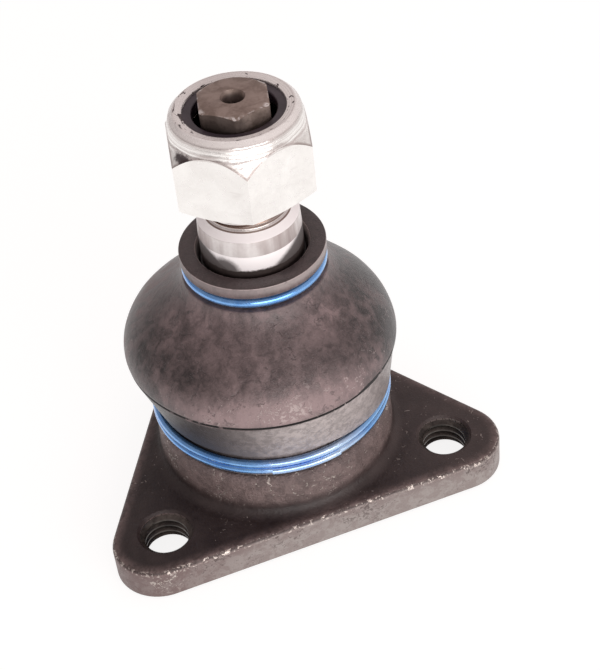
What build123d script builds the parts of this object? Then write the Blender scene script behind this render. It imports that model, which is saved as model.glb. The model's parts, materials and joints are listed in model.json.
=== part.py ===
"""Flange-mounted suspension ball joint, in millimetres.

The frame stands on the middle of the flange's underside: +Z points along the
upright stud, and one straight edge of the three-cornered flange faces -Y.
A forged housing with a three-hole flange holds a ball between two plastic
seats; two disc springs and a rolled-in cap load them from below. The stud
leaves through the throat, a rubber boot seals it between two wire rings, and
a self-locking nut sits on its thread.
"""
from math import cos, pi, radians, tan
import os

from build123d import *

# ---- Edges and cutters ------------------------------------------------------
edge_round = 0.3                   # broken edges on turned and moulded pieces
groove_round = 0.4                 # inner corners of grooves and dishes
slight_round = 0.2                 # edges that only just lose their sharpness
fillet_share = 0.95                # most of its land that a fillet may take
cut_margin = 1.0                   # how far a cutter reaches past a face
cut_overlap = 0.01                 # between two cutters that meet
seating_gap = 0.03                 # between plastic pieces and what traps them

# ---- Flange -------------------------------------------------------------
flange_thickness = 7.0
flange_edge_land = 1.0             # flat left between the body's foot and an edge
flange_corner_radius = 8.8
flange_top_round = 1.0
flange_underside_chamfer = 0.5
bolt_count = 3
bolt_circle_diameter = 67.0
bolt_thread_diameter = 10.0        # M10 x 1.5, tapped
bolt_mouth_chamfer = 0.45

# ---- Ball, seats and springs ---------------------------------------------
ball_radius = 14.0
ball_clearance = 0.05
seat_wall = 2.3
seat_clearance = 0.05
seat_gap = 0.3                     # between the two seats, at the ball's waist
upper_seat_end_gap = 0.9           # to the throat's land
lower_seat_floor = 1.91            # below the ball
grease_pocket_radius = 4.6
grease_groove_width = 2.0
grease_groove_depth = 0.7
grease_groove_count = 4
spring_count = 2
spring_thickness = 0.8
spring_rise = 0.95                 # cone height of one disc spring
spring_side_gap = 1.0              # to the housing's bore
spring_inner_radius = 6.4
spring_clearance = 0.03

# ---- Closing cap ----------------------------------------------------------
cap_thickness = 2.3
cap_ledge = 2.2                    # how far the cap reaches past the bore
cap_clearance = 0.05
cap_dish_radius = 9.0
cap_dish_depth = 0.7
cap_dish_slope = 1.0
rolled_lip_thickness = 0.9
rolled_lip_reach = 1.2
underside_recess = 0.2             # the rolled lip stays above the flange face

# ---- Housing body -------------------------------------------------------
body_height = 16.6                 # underside to the shoulder under the boot
body_shoulder_step = 2.3           # shoulder's reach past the neck
body_shoulder_round = 2.6
body_draft = 0.5                   # how much wider the barrel is at its foot
body_foot_fillet = 2.2
bore_wall = 3.4                    # wall left between boot groove and bore
boot_groove_depth = 0.8
neck_round = 1.2
throat_height = 9.0                # ball's centre to the top of the neck
throat_overlap = 1.5               # how much narrower than the ball the throat is
throat_land = 0.7
throat_chamfer = 0.5
cone_height = 4.8                  # inner cone that holds the upper seat

# ---- Stud, from the ball upwards --------------------------------------------
stud_neck_radius = 6.8
stud_neck_length = 18.0            # ball's centre to the start of the flare
stud_neck_round = 6.0
stud_flare_length = 6.0
stud_flare_round = 2.0
stud_seal_length = 6.5
stud_shoulder_depth = 0.95
stud_collar_radius = 9.45
stud_collar_length = 6.0
stud_collar_round = 0.5
taper_length = 3.1
taper_ratio = 10.0                 # length per millimetre of diameter
taper_end_chamfer = 1.1
thread_diameter = 16.0             # M16 x 1.5
undercut_depth = 0.5
undercut_length = 0.9
free_thread_length = 4.5           # between the undercut and the nut
thread_end_inset = 3.0             # below the nut's top
thread_end_chamfer = 0.8
stud_end_reach = 1.8               # above the nut's top
stud_hex_across_flats = 12.0
stud_hex_turned_diameter = 13.5
stud_hex_chamfer = 0.5
stud_hex_turn = 15.0               # degrees about Z
centre_hole_radius = 2.2
centre_hole_depth = 5.0
centre_hole_cone_angle = 60.0
centre_drill_share = 0.45          # of the mouth, for the small drill below it

# ---- Lock nut ---------------------------------------------------------------
nut_across_flats = 24.0
nut_height = 16.0
nut_collar_height = 3.1            # above the flats
nut_turn = 17.0                    # degrees about Z
nut_top_drop = 3.0                 # from the flat's top to the corner's top
nut_bottom_chamfer = 0.8
nut_countersink = 0.8
nut_crown_round = 0.8
nut_washer_face_step = 0.4
nut_collar_step = 0.55             # how far the collar stands inside the flats
nut_collar_wall = 1.0
nut_collar_round = 0.9
nut_lip_clearance = 0.95           # round the thread
nut_lip_thickness = 0.7
nut_thread_clearance = 0.03
insert_height = 3.2
insert_clearance = 0.05
insert_bite = 0.65                 # how far the fresh ring reaches over the thread
insert_end_gap = 0.3               # unformed part's distance from the thread end

# ---- Boot and its rings -------------------------------------------------------
boot_wall = 1.9
boot_clearance = 0.3
boot_lip_height = 0.65
boot_lip_depth = 0.8
boot_cuff_wall = 1.65
boot_flare_length = 10.84          # lower wire groove to the mould line
boot_mould_radius = 26.0
boot_dome_rise = 8.1               # how far the bulge stays upright
boot_dome_drop = 5.4               # from the neck down to the slope's end
boot_dome_flare = 1.2
boot_inner_drop = 0.7              # share of the wall, by which the inside of
boot_inner_rise = 0.5              # the dome lies under its outside
boot_collar_wall = 1.2
boot_groove_shoulder = 2.25        # depth of the upper wire groove
boot_collar_reach = 2.1            # collar top above the stud's shoulder
boot_mouth_gap = 0.75
boot_mouth_flare = 1.0             # funnel at the collar's mouth
boot_inner_lip_height = 1.0
bush_wall = 1.2
bush_height = 3.4
bush_clearance = 0.05
wire_gap = 0.03
lower_wire_diameter = 1.5
lower_wire_turns = 2
lower_ramp_angle = 24.0            # degrees taken by the step between turns
lower_ring_end_turn = 97.0         # degrees about Z, where the turns meet
lower_wire_side_gap = 0.15
lower_wire_top_gap = 0.7           # groove left open above the wire
wire_tail_turn = -110.0            # degrees about Z, where the tail starts
wire_tail_angle = 33.0             # degrees that the tail laps the lowest turn
wire_tail_reach = 0.3              # how far it stands outside that turn
wire_tail_drop = 0.05
upper_wire_diameter = 1.9
upper_ring_split_angle = 6.0
upper_ring_split_turn = 70.0

# ---- Worked out: housing, ball and seats --------------------------------------
cap_bottom = underside_recess + rolled_lip_thickness
cap_top = cap_bottom + cap_thickness
spring_step = spring_thickness + spring_clearance
lower_seat_bottom = cap_top + spring_count * spring_step + spring_rise + spring_clearance
seat_sphere_radius = ball_radius + ball_clearance
ball_centre_height = lower_seat_bottom + lower_seat_floor + seat_sphere_radius
ball_centre = (0, 0, ball_centre_height)
seat_outer_radius = seat_sphere_radius + seat_wall
bore_radius = seat_outer_radius + seat_clearance
cap_radius = bore_radius + cap_ledge
spring_outer_radius = bore_radius - spring_side_gap
boot_groove_radius = bore_radius + bore_wall
neck_radius = boot_groove_radius + boot_groove_depth
neck_height = ball_centre_height + throat_height
throat_radius = ball_radius - throat_overlap
cone_top = neck_height - throat_land
cone_bottom = cone_top - cone_height
upper_seat_height = throat_height - throat_land - upper_seat_end_gap
body_shoulder_radius = neck_radius + body_shoulder_step
body_foot_radius = body_shoulder_radius + body_draft
flange_edge_distance = body_foot_radius + body_foot_fillet + flange_edge_land

# ---- Worked out: stud and nut ---------------------------------------------------
stud_neck_top = ball_centre_height + stud_neck_length
stud_seal_bottom = stud_neck_top + stud_flare_length
stud_seal_radius = stud_collar_radius - stud_shoulder_depth
stud_shoulder_height = stud_seal_bottom + stud_seal_length
taper_start_height = stud_shoulder_height + stud_collar_length
taper_end_height = taper_start_height + taper_length
taper_end_radius = stud_collar_radius - taper_length / (2 * taper_ratio)
thread_start_height = taper_end_height + taper_end_chamfer
thread_radius = thread_diameter / 2
nut_seat_height = thread_start_height + undercut_length + free_thread_length
nut_top = nut_seat_height + nut_height
nut_hex_top = nut_top - nut_collar_height
thread_end_height = nut_top - thread_end_inset
stud_top_height = nut_top + stud_end_reach
flat_radius = nut_across_flats / 2
hex_corner = flat_radius / cos(pi / 6)
nut_collar_radius = flat_radius - nut_collar_step
nut_lip_radius = thread_radius + nut_lip_clearance
nut_bore_radius = thread_radius + nut_thread_clearance
insert_outer_radius = nut_collar_radius - nut_collar_wall - insert_clearance
insert_top = nut_top - nut_lip_thickness
insert_bottom = insert_top - insert_height

# ---- Worked out: boot, bush and rings --------------------------------------------
bush_inner_radius = stud_seal_radius + bush_clearance
bush_outer_radius = bush_inner_radius + bush_wall
bush_top = stud_shoulder_height - seating_gap
bush_bottom = bush_top - bush_height
boot_bore_radius = bush_outer_radius + boot_clearance
upper_groove_radius = boot_bore_radius + boot_collar_wall
upper_ring_radius = upper_groove_radius + boot_clearance + upper_wire_diameter / 2
upper_ring_height = (bush_top + bush_bottom) / 2
upper_groove_bottom = upper_ring_height - upper_wire_diameter / 2 - boot_clearance
upper_groove_top = upper_ring_height + upper_wire_diameter / 2 + boot_clearance
boot_collar_radius = upper_groove_radius + boot_groove_shoulder
boot_neck_height = upper_groove_bottom - boot_clearance
boot_top_height = stud_shoulder_height + boot_collar_reach
boot_mouth_radius = stud_collar_radius + boot_mouth_gap
boot_lip_bottom = body_height + boot_clearance
lower_groove_bottom = boot_lip_bottom + boot_lip_height
lower_pitch = lower_wire_diameter + wire_gap
lower_wire_stack = lower_wire_diameter + (lower_wire_turns - 1) * lower_pitch
lower_groove_play = lower_wire_side_gap + lower_wire_top_gap
lower_groove_top = lower_groove_bottom + lower_wire_stack + lower_groove_play
groove_top = lower_groove_top + boot_clearance
lower_wall_radius = boot_groove_radius + boot_clearance
lower_groove_radius = lower_wall_radius + boot_cuff_wall
boot_lip_radius = lower_groove_radius + boot_lip_depth
lower_ring_radius = lower_groove_radius + lower_wire_side_gap + lower_wire_diameter / 2
boot_mould_height = lower_groove_top + boot_flare_length


def turned(*corners):
    """Solid turned about Z; each corner is (radius, height, rounding)."""
    with BuildPart() as solid:
        with BuildSketch(Plane.XZ):
            with BuildLine():
                FilletPolyline(*[(r, z) for r, z, _ in corners],
                               radius=[f for _, _, f in corners], close=True)
            make_face()
        revolve(axis=Axis.Z)
    return solid.part


def around(solid, count, start=0.0):
    """Copies of a solid, evenly turned about Z."""
    return [Rot(0, 0, start + 360.0 * i / count) * solid for i in range(count)]


def make_flange():
    """Three-cornered plate with large round corners and tapped holes."""
    corner_reach = 2 * (flange_edge_distance - flange_corner_radius)
    with BuildPart() as flange:
        with BuildSketch():
            with PolarLocations(corner_reach, bolt_count, start_angle=90):
                Circle(flange_corner_radius)
            make_hull()
        extrude(amount=flange_thickness)
        fillet(flange.edges().group_by(Axis.Z)[-1], flange_top_round)
        chamfer(flange.edges().group_by(Axis.Z)[0], flange_underside_chamfer)
    return flange.part


def make_bolt_hole():
    """Cutter for one tapped hole at its major diameter, chamfered both ends."""
    radius = bolt_thread_diameter / 2
    mouth = radius + bolt_mouth_chamfer
    top = flange_thickness
    chamfer_z = bolt_mouth_chamfer
    end = top + cut_margin
    return turned((0, -cut_margin, 0), (mouth, -cut_margin, 0), (mouth, 0, 0),
                  (radius, chamfer_z, 0), (radius, top - chamfer_z, 0), (mouth, top, 0),
                  (mouth, end, 0), (0, end, 0))


def make_housing():
    """Forged body: flange, drafted barrel, grooved neck, bore and rolled lip."""
    foot_z = flange_thickness
    shoulder_land = body_shoulder_radius - boot_groove_radius - groove_round
    shoulder_round = min(body_shoulder_round, shoulder_land * fillet_share)
    barrel = turned(
        (0, 0, 0), (body_shoulder_radius, 0, 0),
        (body_shoulder_radius, foot_z / 2, 0),
        (body_foot_radius + body_foot_fillet, foot_z / 2, 0),
        (body_foot_radius + body_foot_fillet, foot_z, 0),
        (body_foot_radius, foot_z, body_foot_fillet * fillet_share),
        (body_shoulder_radius, body_height, shoulder_round),
        (boot_groove_radius, body_height, groove_round),
        (boot_groove_radius, groove_top, groove_round),
        (neck_radius, groove_top, slight_round),
        (neck_radius, neck_height, neck_round),
        (0, neck_height, 0))
    bore = turned(
        (0, cap_top - cut_overlap, 0), (bore_radius, cap_top - cut_overlap, 0),
        (bore_radius, cone_bottom, 0), (throat_radius, cone_top, 0),
        (throat_radius, neck_height - throat_chamfer, 0),
        (throat_radius + throat_chamfer * 2, neck_height + throat_chamfer, 0),
        (0, neck_height + throat_chamfer, 0))
    lip_radius = cap_radius - rolled_lip_reach
    lip_edge = cap_bottom - rolled_lip_thickness / 2
    cap_seat = turned(
        (0, -cut_margin, 0), (lip_radius + cap_bottom + cut_margin, -cut_margin, 0),
        (lip_radius, lip_edge, edge_round), (lip_radius, cap_bottom, 0),
        (cap_radius + cap_clearance, cap_bottom, 0),
        (cap_radius + cap_clearance, cap_top, 0), (0, cap_top, 0))
    housing = make_flange() + barrel - bore - cap_seat
    hole = Pos(bolt_circle_diameter / 2, 0, 0) * make_bolt_hole()
    for cutter in around(hole, bolt_count, 90):
        housing -= cutter
    return housing


def make_closing_cap():
    """Pressed steel disc with a dished middle, held by the rolled lip."""
    return turned(
        (0, cap_bottom + cap_dish_depth, 0),
        (cap_dish_radius - cap_dish_slope, cap_bottom + cap_dish_depth, groove_round),
        (cap_dish_radius, cap_bottom, groove_round), (cap_radius, cap_bottom, edge_round),
        (cap_radius, cap_top, 0), (0, cap_top, 0))


def make_disc_spring(index):
    """One conical disc spring, its outer edge towards the cap."""
    foot = cap_top + spring_clearance + index * spring_step
    return turned(
        (spring_outer_radius, foot, 0),
        (spring_outer_radius, foot + spring_thickness, 0),
        (spring_inner_radius, foot + spring_rise + spring_thickness, 0),
        (spring_inner_radius, foot + spring_rise, 0))


def make_lower_seat():
    """Plastic cup under the ball, pressed up by the disc springs."""
    top = ball_centre_height - seat_gap
    cup = turned((grease_pocket_radius, lower_seat_bottom, 0),
                 (seat_outer_radius, lower_seat_bottom, 2 * edge_round),
                 (seat_outer_radius, top, 0), (grease_pocket_radius, top, 0))
    cup -= Pos(*ball_centre) * Sphere(seat_sphere_radius)
    return cut_grease_grooves(cup)


def make_upper_seat():
    """Plastic bearing ring over the ball, coned to fit the housing's throat."""
    bottom = ball_centre_height
    top = ball_centre_height + upper_seat_height
    lean = (bore_radius - throat_radius) / cone_height
    top_radius = seat_outer_radius - (top - cone_bottom) * lean
    ring = turned((0, bottom, 0), (seat_outer_radius, bottom, 0),
                  (seat_outer_radius, cone_bottom, 0), (top_radius, top, slight_round), (0, top, 0))
    ring -= Pos(*ball_centre) * Sphere(seat_sphere_radius)
    return cut_grease_grooves(ring)


def cut_grease_grooves(seat):
    """Meridian grease grooves in the running face of a seat."""
    reach = seat_sphere_radius + grease_groove_depth
    with BuildPart() as slot:
        with BuildSketch(Plane.XZ):
            Circle(reach)
        extrude(amount=grease_groove_width / 2, both=True)
    disc = Pos(*ball_centre) * slot.part
    for cutter in around(disc, grease_groove_count // 2):
        seat -= cutter
    return seat


def make_ball_stud():
    """Forged ball stud: ball, waist, sealing land, taper, thread and drive end."""
    undercut_radius = thread_radius - undercut_depth
    undercut_end = thread_start_height + undercut_length
    shank = turned(
        (0, ball_centre_height, 0), (stud_neck_radius, ball_centre_height, 0),
        (stud_neck_radius, stud_neck_top, stud_neck_round),
        (stud_seal_radius, stud_seal_bottom, stud_flare_round),
        (stud_seal_radius, stud_shoulder_height, 0),
        (stud_collar_radius, stud_shoulder_height, stud_collar_round),
        (stud_collar_radius, taper_start_height, 0),
        (taper_end_radius, taper_end_height, edge_round),
        (thread_radius, thread_start_height, 0),
        (undercut_radius, thread_start_height + undercut_depth, edge_round),
        (undercut_radius, undercut_end, edge_round),
        (thread_radius, undercut_end + undercut_depth, 0),
        (thread_radius, thread_end_height - thread_end_chamfer, 0),
        (thread_radius - thread_end_chamfer, thread_end_height, 0),
        (0, thread_end_height, 0))
    stud = shank + Pos(*ball_centre) * Sphere(ball_radius)
    stud += make_drive_end()
    stud -= make_centre_hole()
    return stud


def make_drive_end():
    """Hexagon on the stud's end, its corners turned down and its top chamfered."""
    turned_radius = stud_hex_turned_diameter / 2
    bottom = thread_end_height - thread_end_chamfer
    with BuildPart() as prism:
        with BuildSketch(Plane.XY.offset(bottom)):
            RegularPolygon(stud_hex_across_flats / 2, 6, major_radius=False)
        extrude(amount=stud_top_height - bottom)
    blank = turned((0, bottom, 0), (turned_radius, bottom, 0),
                   (turned_radius, stud_top_height - stud_hex_chamfer, 0),
                   (turned_radius - stud_hex_chamfer * 2, stud_top_height, 0),
                   (0, stud_top_height, 0))
    return Rot(0, 0, stud_hex_turn) * prism.part & blank


def make_centre_hole():
    """Cutter for the turning centre in the stud's end."""
    drill = centre_hole_radius * centre_drill_share
    cone_depth = (centre_hole_radius - drill) / tan(radians(centre_hole_cone_angle / 2))
    top = stud_top_height
    return turned((0, top - centre_hole_depth, 0), (drill, top - centre_hole_depth + drill, 0),
                  (drill, top - cone_depth, 0), (centre_hole_radius, top, 0),
                  (centre_hole_radius, top + cut_margin, 0), (0, top + cut_margin, 0))


def make_lock_nut():
    """Hexagon nut with a rolled collar that traps the locking ring."""
    with BuildPart() as prism:
        with BuildSketch(Plane.XY.offset(nut_seat_height)):
            RegularPolygon(flat_radius, 6, major_radius=False)
        extrude(amount=nut_height)
    bore = nut_bore_radius
    blank = turned(
        (bore + nut_countersink, nut_seat_height, 0),
        (flat_radius - nut_washer_face_step, nut_seat_height, 0),
        (hex_corner, nut_seat_height + nut_bottom_chamfer, 0),
        (hex_corner, nut_hex_top - nut_top_drop, 0), (flat_radius, nut_hex_top, nut_crown_round),
        (nut_collar_radius, nut_top - nut_collar_round, nut_collar_round),
        (nut_collar_radius - nut_collar_round, nut_top, groove_round),
        (nut_lip_radius, nut_top - edge_round, edge_round), (nut_lip_radius, insert_top, 0),
        (insert_outer_radius + insert_clearance, insert_top, 0),
        (insert_outer_radius + insert_clearance, insert_bottom, 0),
        (bore + groove_round, insert_bottom, 0), (bore, insert_bottom - groove_round, 0),
        (bore, nut_seat_height + nut_countersink, 0))
    return Rot(0, 0, nut_turn) * prism.part & blank


def make_nut_insert():
    """Plastic locking ring; the thread has opened its lower part."""
    formed_top = thread_end_height + insert_end_gap
    inner_radius = thread_radius - insert_bite
    return turned((nut_bore_radius, insert_bottom + seating_gap, 0),
                  (insert_outer_radius, insert_bottom + seating_gap, 0),
                  (insert_outer_radius, insert_top - seating_gap, 0),
                  (inner_radius, insert_top - seating_gap, edge_round),
                  (inner_radius, formed_top, 0), (nut_bore_radius, formed_top, 0))


def make_dust_boot():
    """Rubber boot: lipped cuff, straight flare, rounded dome and grooved collar."""
    wall = boot_wall
    collar = boot_collar_radius
    dome_end = boot_neck_height - boot_dome_drop
    lip_bottom = bush_bottom - boot_clearance
    bulge_top = boot_mould_height + boot_dome_rise
    with BuildPart() as boot:
        with BuildSketch(Plane.XZ):
            with BuildLine():
                cuff = Polyline(
                    (lower_wall_radius, boot_lip_bottom), (boot_lip_radius, boot_lip_bottom),
                    (boot_lip_radius, lower_groove_bottom),
                    (lower_groove_radius, lower_groove_bottom),
                    (lower_groove_radius, lower_groove_top),
                    (boot_lip_radius, lower_groove_top + boot_clearance),
                    (boot_mould_radius, boot_mould_height))
                Bezier(cuff @ 1, (boot_mould_radius, bulge_top),
                       (collar + boot_dome_flare, dome_end), (collar, boot_neck_height))
                neck = Polyline(
                    (collar, boot_neck_height), (upper_groove_radius, upper_groove_bottom),
                    (upper_groove_radius, upper_groove_top),
                    (collar, upper_groove_top + boot_clearance),
                    (collar, boot_top_height),
                    (boot_mouth_radius + boot_mouth_flare, boot_top_height),
                    (boot_mouth_radius, boot_top_height - boot_mouth_flare),
                    (boot_bore_radius, bush_top + boot_clearance),
                    (boot_bore_radius, lip_bottom),
                    (stud_seal_radius + boot_clearance, lip_bottom),
                    (stud_seal_radius + boot_clearance, lip_bottom - boot_inner_lip_height),
                    (collar - wall, lip_bottom - wall))
                inner = Bezier(
                    neck @ 1, (collar + boot_dome_flare - wall, dome_end - wall * boot_inner_drop),
                    (boot_mould_radius - wall, bulge_top - wall * boot_inner_rise),
                    (boot_mould_radius - wall, boot_mould_height))
                Polyline(inner @ 1, (neck_radius + boot_clearance, groove_top + wall),
                         (neck_radius + boot_clearance, groove_top - boot_clearance),
                         (lower_wall_radius, groove_top - boot_clearance),
                         (lower_wall_radius, boot_lip_bottom))
            make_face()
        revolve(axis=Axis.Z)
    return boot.part


def make_boot_bush():
    """Plastic bush in the boot's collar; the stud turns inside it."""
    return turned((bush_inner_radius, bush_bottom, 0),
                  (bush_outer_radius, bush_bottom, slight_round),
                  (bush_outer_radius, bush_top, slight_round),
                  (bush_inner_radius, bush_top, 0))


def wire_turn(radius, height, wire, start, sweep_angle):
    """Part of a flat turn of round wire, from a start angle, in degrees."""
    with BuildPart() as turn:
        with BuildSketch(Plane.XZ):
            with Locations((radius, height)):
                Circle(wire / 2)
        revolve(axis=Axis.Z, revolution_arc=sweep_angle)
    return Rot(0, 0, start) * turn.part


def make_lower_clamp_ring():
    """Spring-wire ring of flat turns, one step between them and a lapping tail."""
    first = lower_groove_bottom + lower_wire_side_gap + lower_wire_diameter / 2
    flat_angle = 360.0 - lower_ramp_angle
    ring = None
    for index in range(lower_wire_turns):
        turn = wire_turn(lower_ring_radius, first + index * lower_pitch,
                         lower_wire_diameter, lower_ring_end_turn, flat_angle)
        ring = turn if ring is None else ring + turn
    for index in range(lower_wire_turns - 1):
        ring += make_ramp(first + index * lower_pitch, lower_ring_end_turn + flat_angle)
    tail = wire_turn(lower_ring_radius + wire_tail_reach, first - wire_tail_drop,
                     lower_wire_diameter, wire_tail_turn, wire_tail_angle)
    return ring + tail


def make_ramp(height, start):
    """Sloping stretch of wire that lifts one turn onto the next."""
    revolution = lower_pitch * 360.0 / lower_ramp_angle
    path = Helix(pitch=revolution, height=lower_pitch, radius=lower_ring_radius)
    section = Plane(path @ 0, z_dir=path % 0) * Circle(lower_wire_diameter / 2)
    ramp = sweep(section, path=path, is_frenet=True)
    ends = [Pos(path @ t) * Sphere(lower_wire_diameter / 2) for t in (0, 1)]
    return Pos(0, 0, height) * Rot(0, 0, start) * (ramp + ends[0] + ends[1])


def make_upper_clamp_ring():
    """Single turn of wire that grips the boot's collar, split at the back."""
    return wire_turn(upper_ring_radius, upper_ring_height, upper_wire_diameter,
                     upper_ring_split_turn + upper_ring_split_angle / 2,
                     360.0 - upper_ring_split_angle)


def main():
    """Build every piece and write one STEP file for each."""
    os.makedirs("parts", exist_ok=True)
    pieces = {
        "housing": make_housing(),
        "closing_cap": make_closing_cap(),
        "lower_seat": make_lower_seat(),
        "upper_seat": make_upper_seat(),
        "ball_stud": make_ball_stud(),
        "lock_nut": make_lock_nut(),
        "nut_insert": make_nut_insert(),
        "dust_boot": make_dust_boot(),
        "boot_bush": make_boot_bush(),
        "lower_clamp_ring": make_lower_clamp_ring(),
        "upper_clamp_ring": make_upper_clamp_ring(),
    }
    for index in range(spring_count):
        pieces[f"disc_spring_{index + 1}"] = make_disc_spring(index)
    for name, piece in pieces.items():
        export_step(piece, f"parts/{name}.step")


main()
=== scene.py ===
"""Suspension ball joint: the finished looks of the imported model, and its studio.

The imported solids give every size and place. This script lays the detail on
them that solids leave out: the cut threads, the moulded rubber boot with its
parting line, and the finish of each metal, plastic and rubber surface. All
lengths in the dataclasses are millimetres, in the model's own frame, with the
flange's underside at zero height and the stud's axis upright.
"""

from __future__ import annotations

import json
import logging
import math
from collections.abc import Callable, Sequence
from dataclasses import dataclass
from enum import Enum
from functools import cached_property

import bmesh
import bpy
from mathutils import Matrix, Vector, geometry, noise

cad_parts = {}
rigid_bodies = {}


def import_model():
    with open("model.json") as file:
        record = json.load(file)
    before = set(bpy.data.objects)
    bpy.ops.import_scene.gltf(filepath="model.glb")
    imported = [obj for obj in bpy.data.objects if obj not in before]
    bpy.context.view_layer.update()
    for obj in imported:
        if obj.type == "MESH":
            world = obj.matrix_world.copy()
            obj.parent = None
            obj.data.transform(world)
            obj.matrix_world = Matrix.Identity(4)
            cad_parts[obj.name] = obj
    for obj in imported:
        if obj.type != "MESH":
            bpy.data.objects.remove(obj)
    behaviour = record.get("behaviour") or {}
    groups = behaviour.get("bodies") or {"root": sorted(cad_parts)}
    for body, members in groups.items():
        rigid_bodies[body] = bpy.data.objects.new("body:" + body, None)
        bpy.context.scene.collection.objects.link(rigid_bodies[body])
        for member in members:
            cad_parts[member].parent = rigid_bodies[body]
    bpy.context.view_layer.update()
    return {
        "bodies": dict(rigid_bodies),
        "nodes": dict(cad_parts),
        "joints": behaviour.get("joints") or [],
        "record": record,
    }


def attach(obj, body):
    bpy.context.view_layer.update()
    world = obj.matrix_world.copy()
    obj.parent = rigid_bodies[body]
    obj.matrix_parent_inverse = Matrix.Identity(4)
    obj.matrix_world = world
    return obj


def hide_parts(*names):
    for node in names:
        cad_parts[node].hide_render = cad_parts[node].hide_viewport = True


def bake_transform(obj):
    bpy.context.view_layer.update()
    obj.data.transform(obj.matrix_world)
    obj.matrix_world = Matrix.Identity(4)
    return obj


MM = 0.001
FULL_TURN = 2.0 * math.pi
# Heights of the clouds between which a surface's roughness changes.
CLOUD_HEIGHTS = (0.3, 0.7)

Point = tuple[float, float]
Triple = tuple[float, float, float]
Colour = tuple[float, float, float]
# Low level, high level and, where they are not zero and one, the result at each.
Ramp = tuple[float, ...]
# One number for each of several layers, in their order.
Numbers = tuple[float, ...]
Mesh = bmesh.types.BMesh
Edges = list[bmesh.types.BMEdge]
Material = bpy.types.Material
Piece = bpy.types.Object

log = logging.getLogger("ball_joint")


class Body(Enum):
    """Moving bodies of the model."""

    HOUSING = "housing"
    BOOT = "boot"
    COLLAR = "collar"
    STUD = "stud"


class Effect(Enum):
    """Surface effects that several finishes share, one node group each."""

    MOTTLE = "mottled tone"
    GRAIN = "fine grain"
    SPECKS = "scattered specks"
    TURNING = "turning marks"
    SMEARS = "directional smears"
    BAND = "height band"
    EDGE = "rounded edge wear"


# ---- Node graphs -------------------------------------------------------------


def arithmetic(operation: str, swapped: bool = False) -> Callable[..., Value]:
    """Makes a method that lays one arithmetic node.

    Args:
        operation: what the node does.
        swapped: whether the value is the second of the two operands.

    Returns:
        The method, which takes the other operand and gives the result.
    """

    def lay(value: Value, other: object = 0.0) -> Value:
        """Lays the node."""
        pair = (other, value) if swapped else (value, other)
        return value.graph.math(operation, *pair)

    return lay


class Value:
    """A node's output. Arithmetic on it lays further nodes."""

    def __init__(self, graph: Graph, socket: bpy.types.NodeSocket) -> None:
        """Keeps the output and the graph that it belongs to."""
        self.graph = graph
        self.socket = socket

    __add__ = arithmetic("ADD")
    __radd__ = arithmetic("ADD", swapped=True)
    __sub__ = arithmetic("SUBTRACT")
    __rsub__ = arithmetic("SUBTRACT", swapped=True)
    __mul__ = arithmetic("MULTIPLY")
    __truediv__ = arithmetic("DIVIDE")
    __abs__ = arithmetic("ABSOLUTE")
    # Remainder that is never below zero.
    __mod__ = arithmetic("FLOORED_MODULO")
    # The larger of two values, which joins two masks.
    __or__ = arithmetic("MAXIMUM")

    def clamped(self) -> Value:
        """The arithmetic just laid, kept between zero and one."""
        self.socket.node.use_clamp = True
        return self

    def over(self, share: object, colour: object) -> Value:
        """This colour with a share of another laid over it."""
        return self.graph.mix(share, self, colour)

    def ramp(self, low: object, high: object, start: float = 0.0, end: float = 1.0) -> Value:
        """Smooth step between two levels of this value.

        Args:
            low: level at which the result is start.
            high: level at which the result is end.
            start: result at and below low.
            end: result at and above high.

        Returns:
            The result.
        """
        levels = {0: self, 1: low, 2: high, 3: start, 4: end}
        return self.graph.value("ShaderNodeMapRange", levels, interpolation_type="SMOOTHSTEP")


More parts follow.
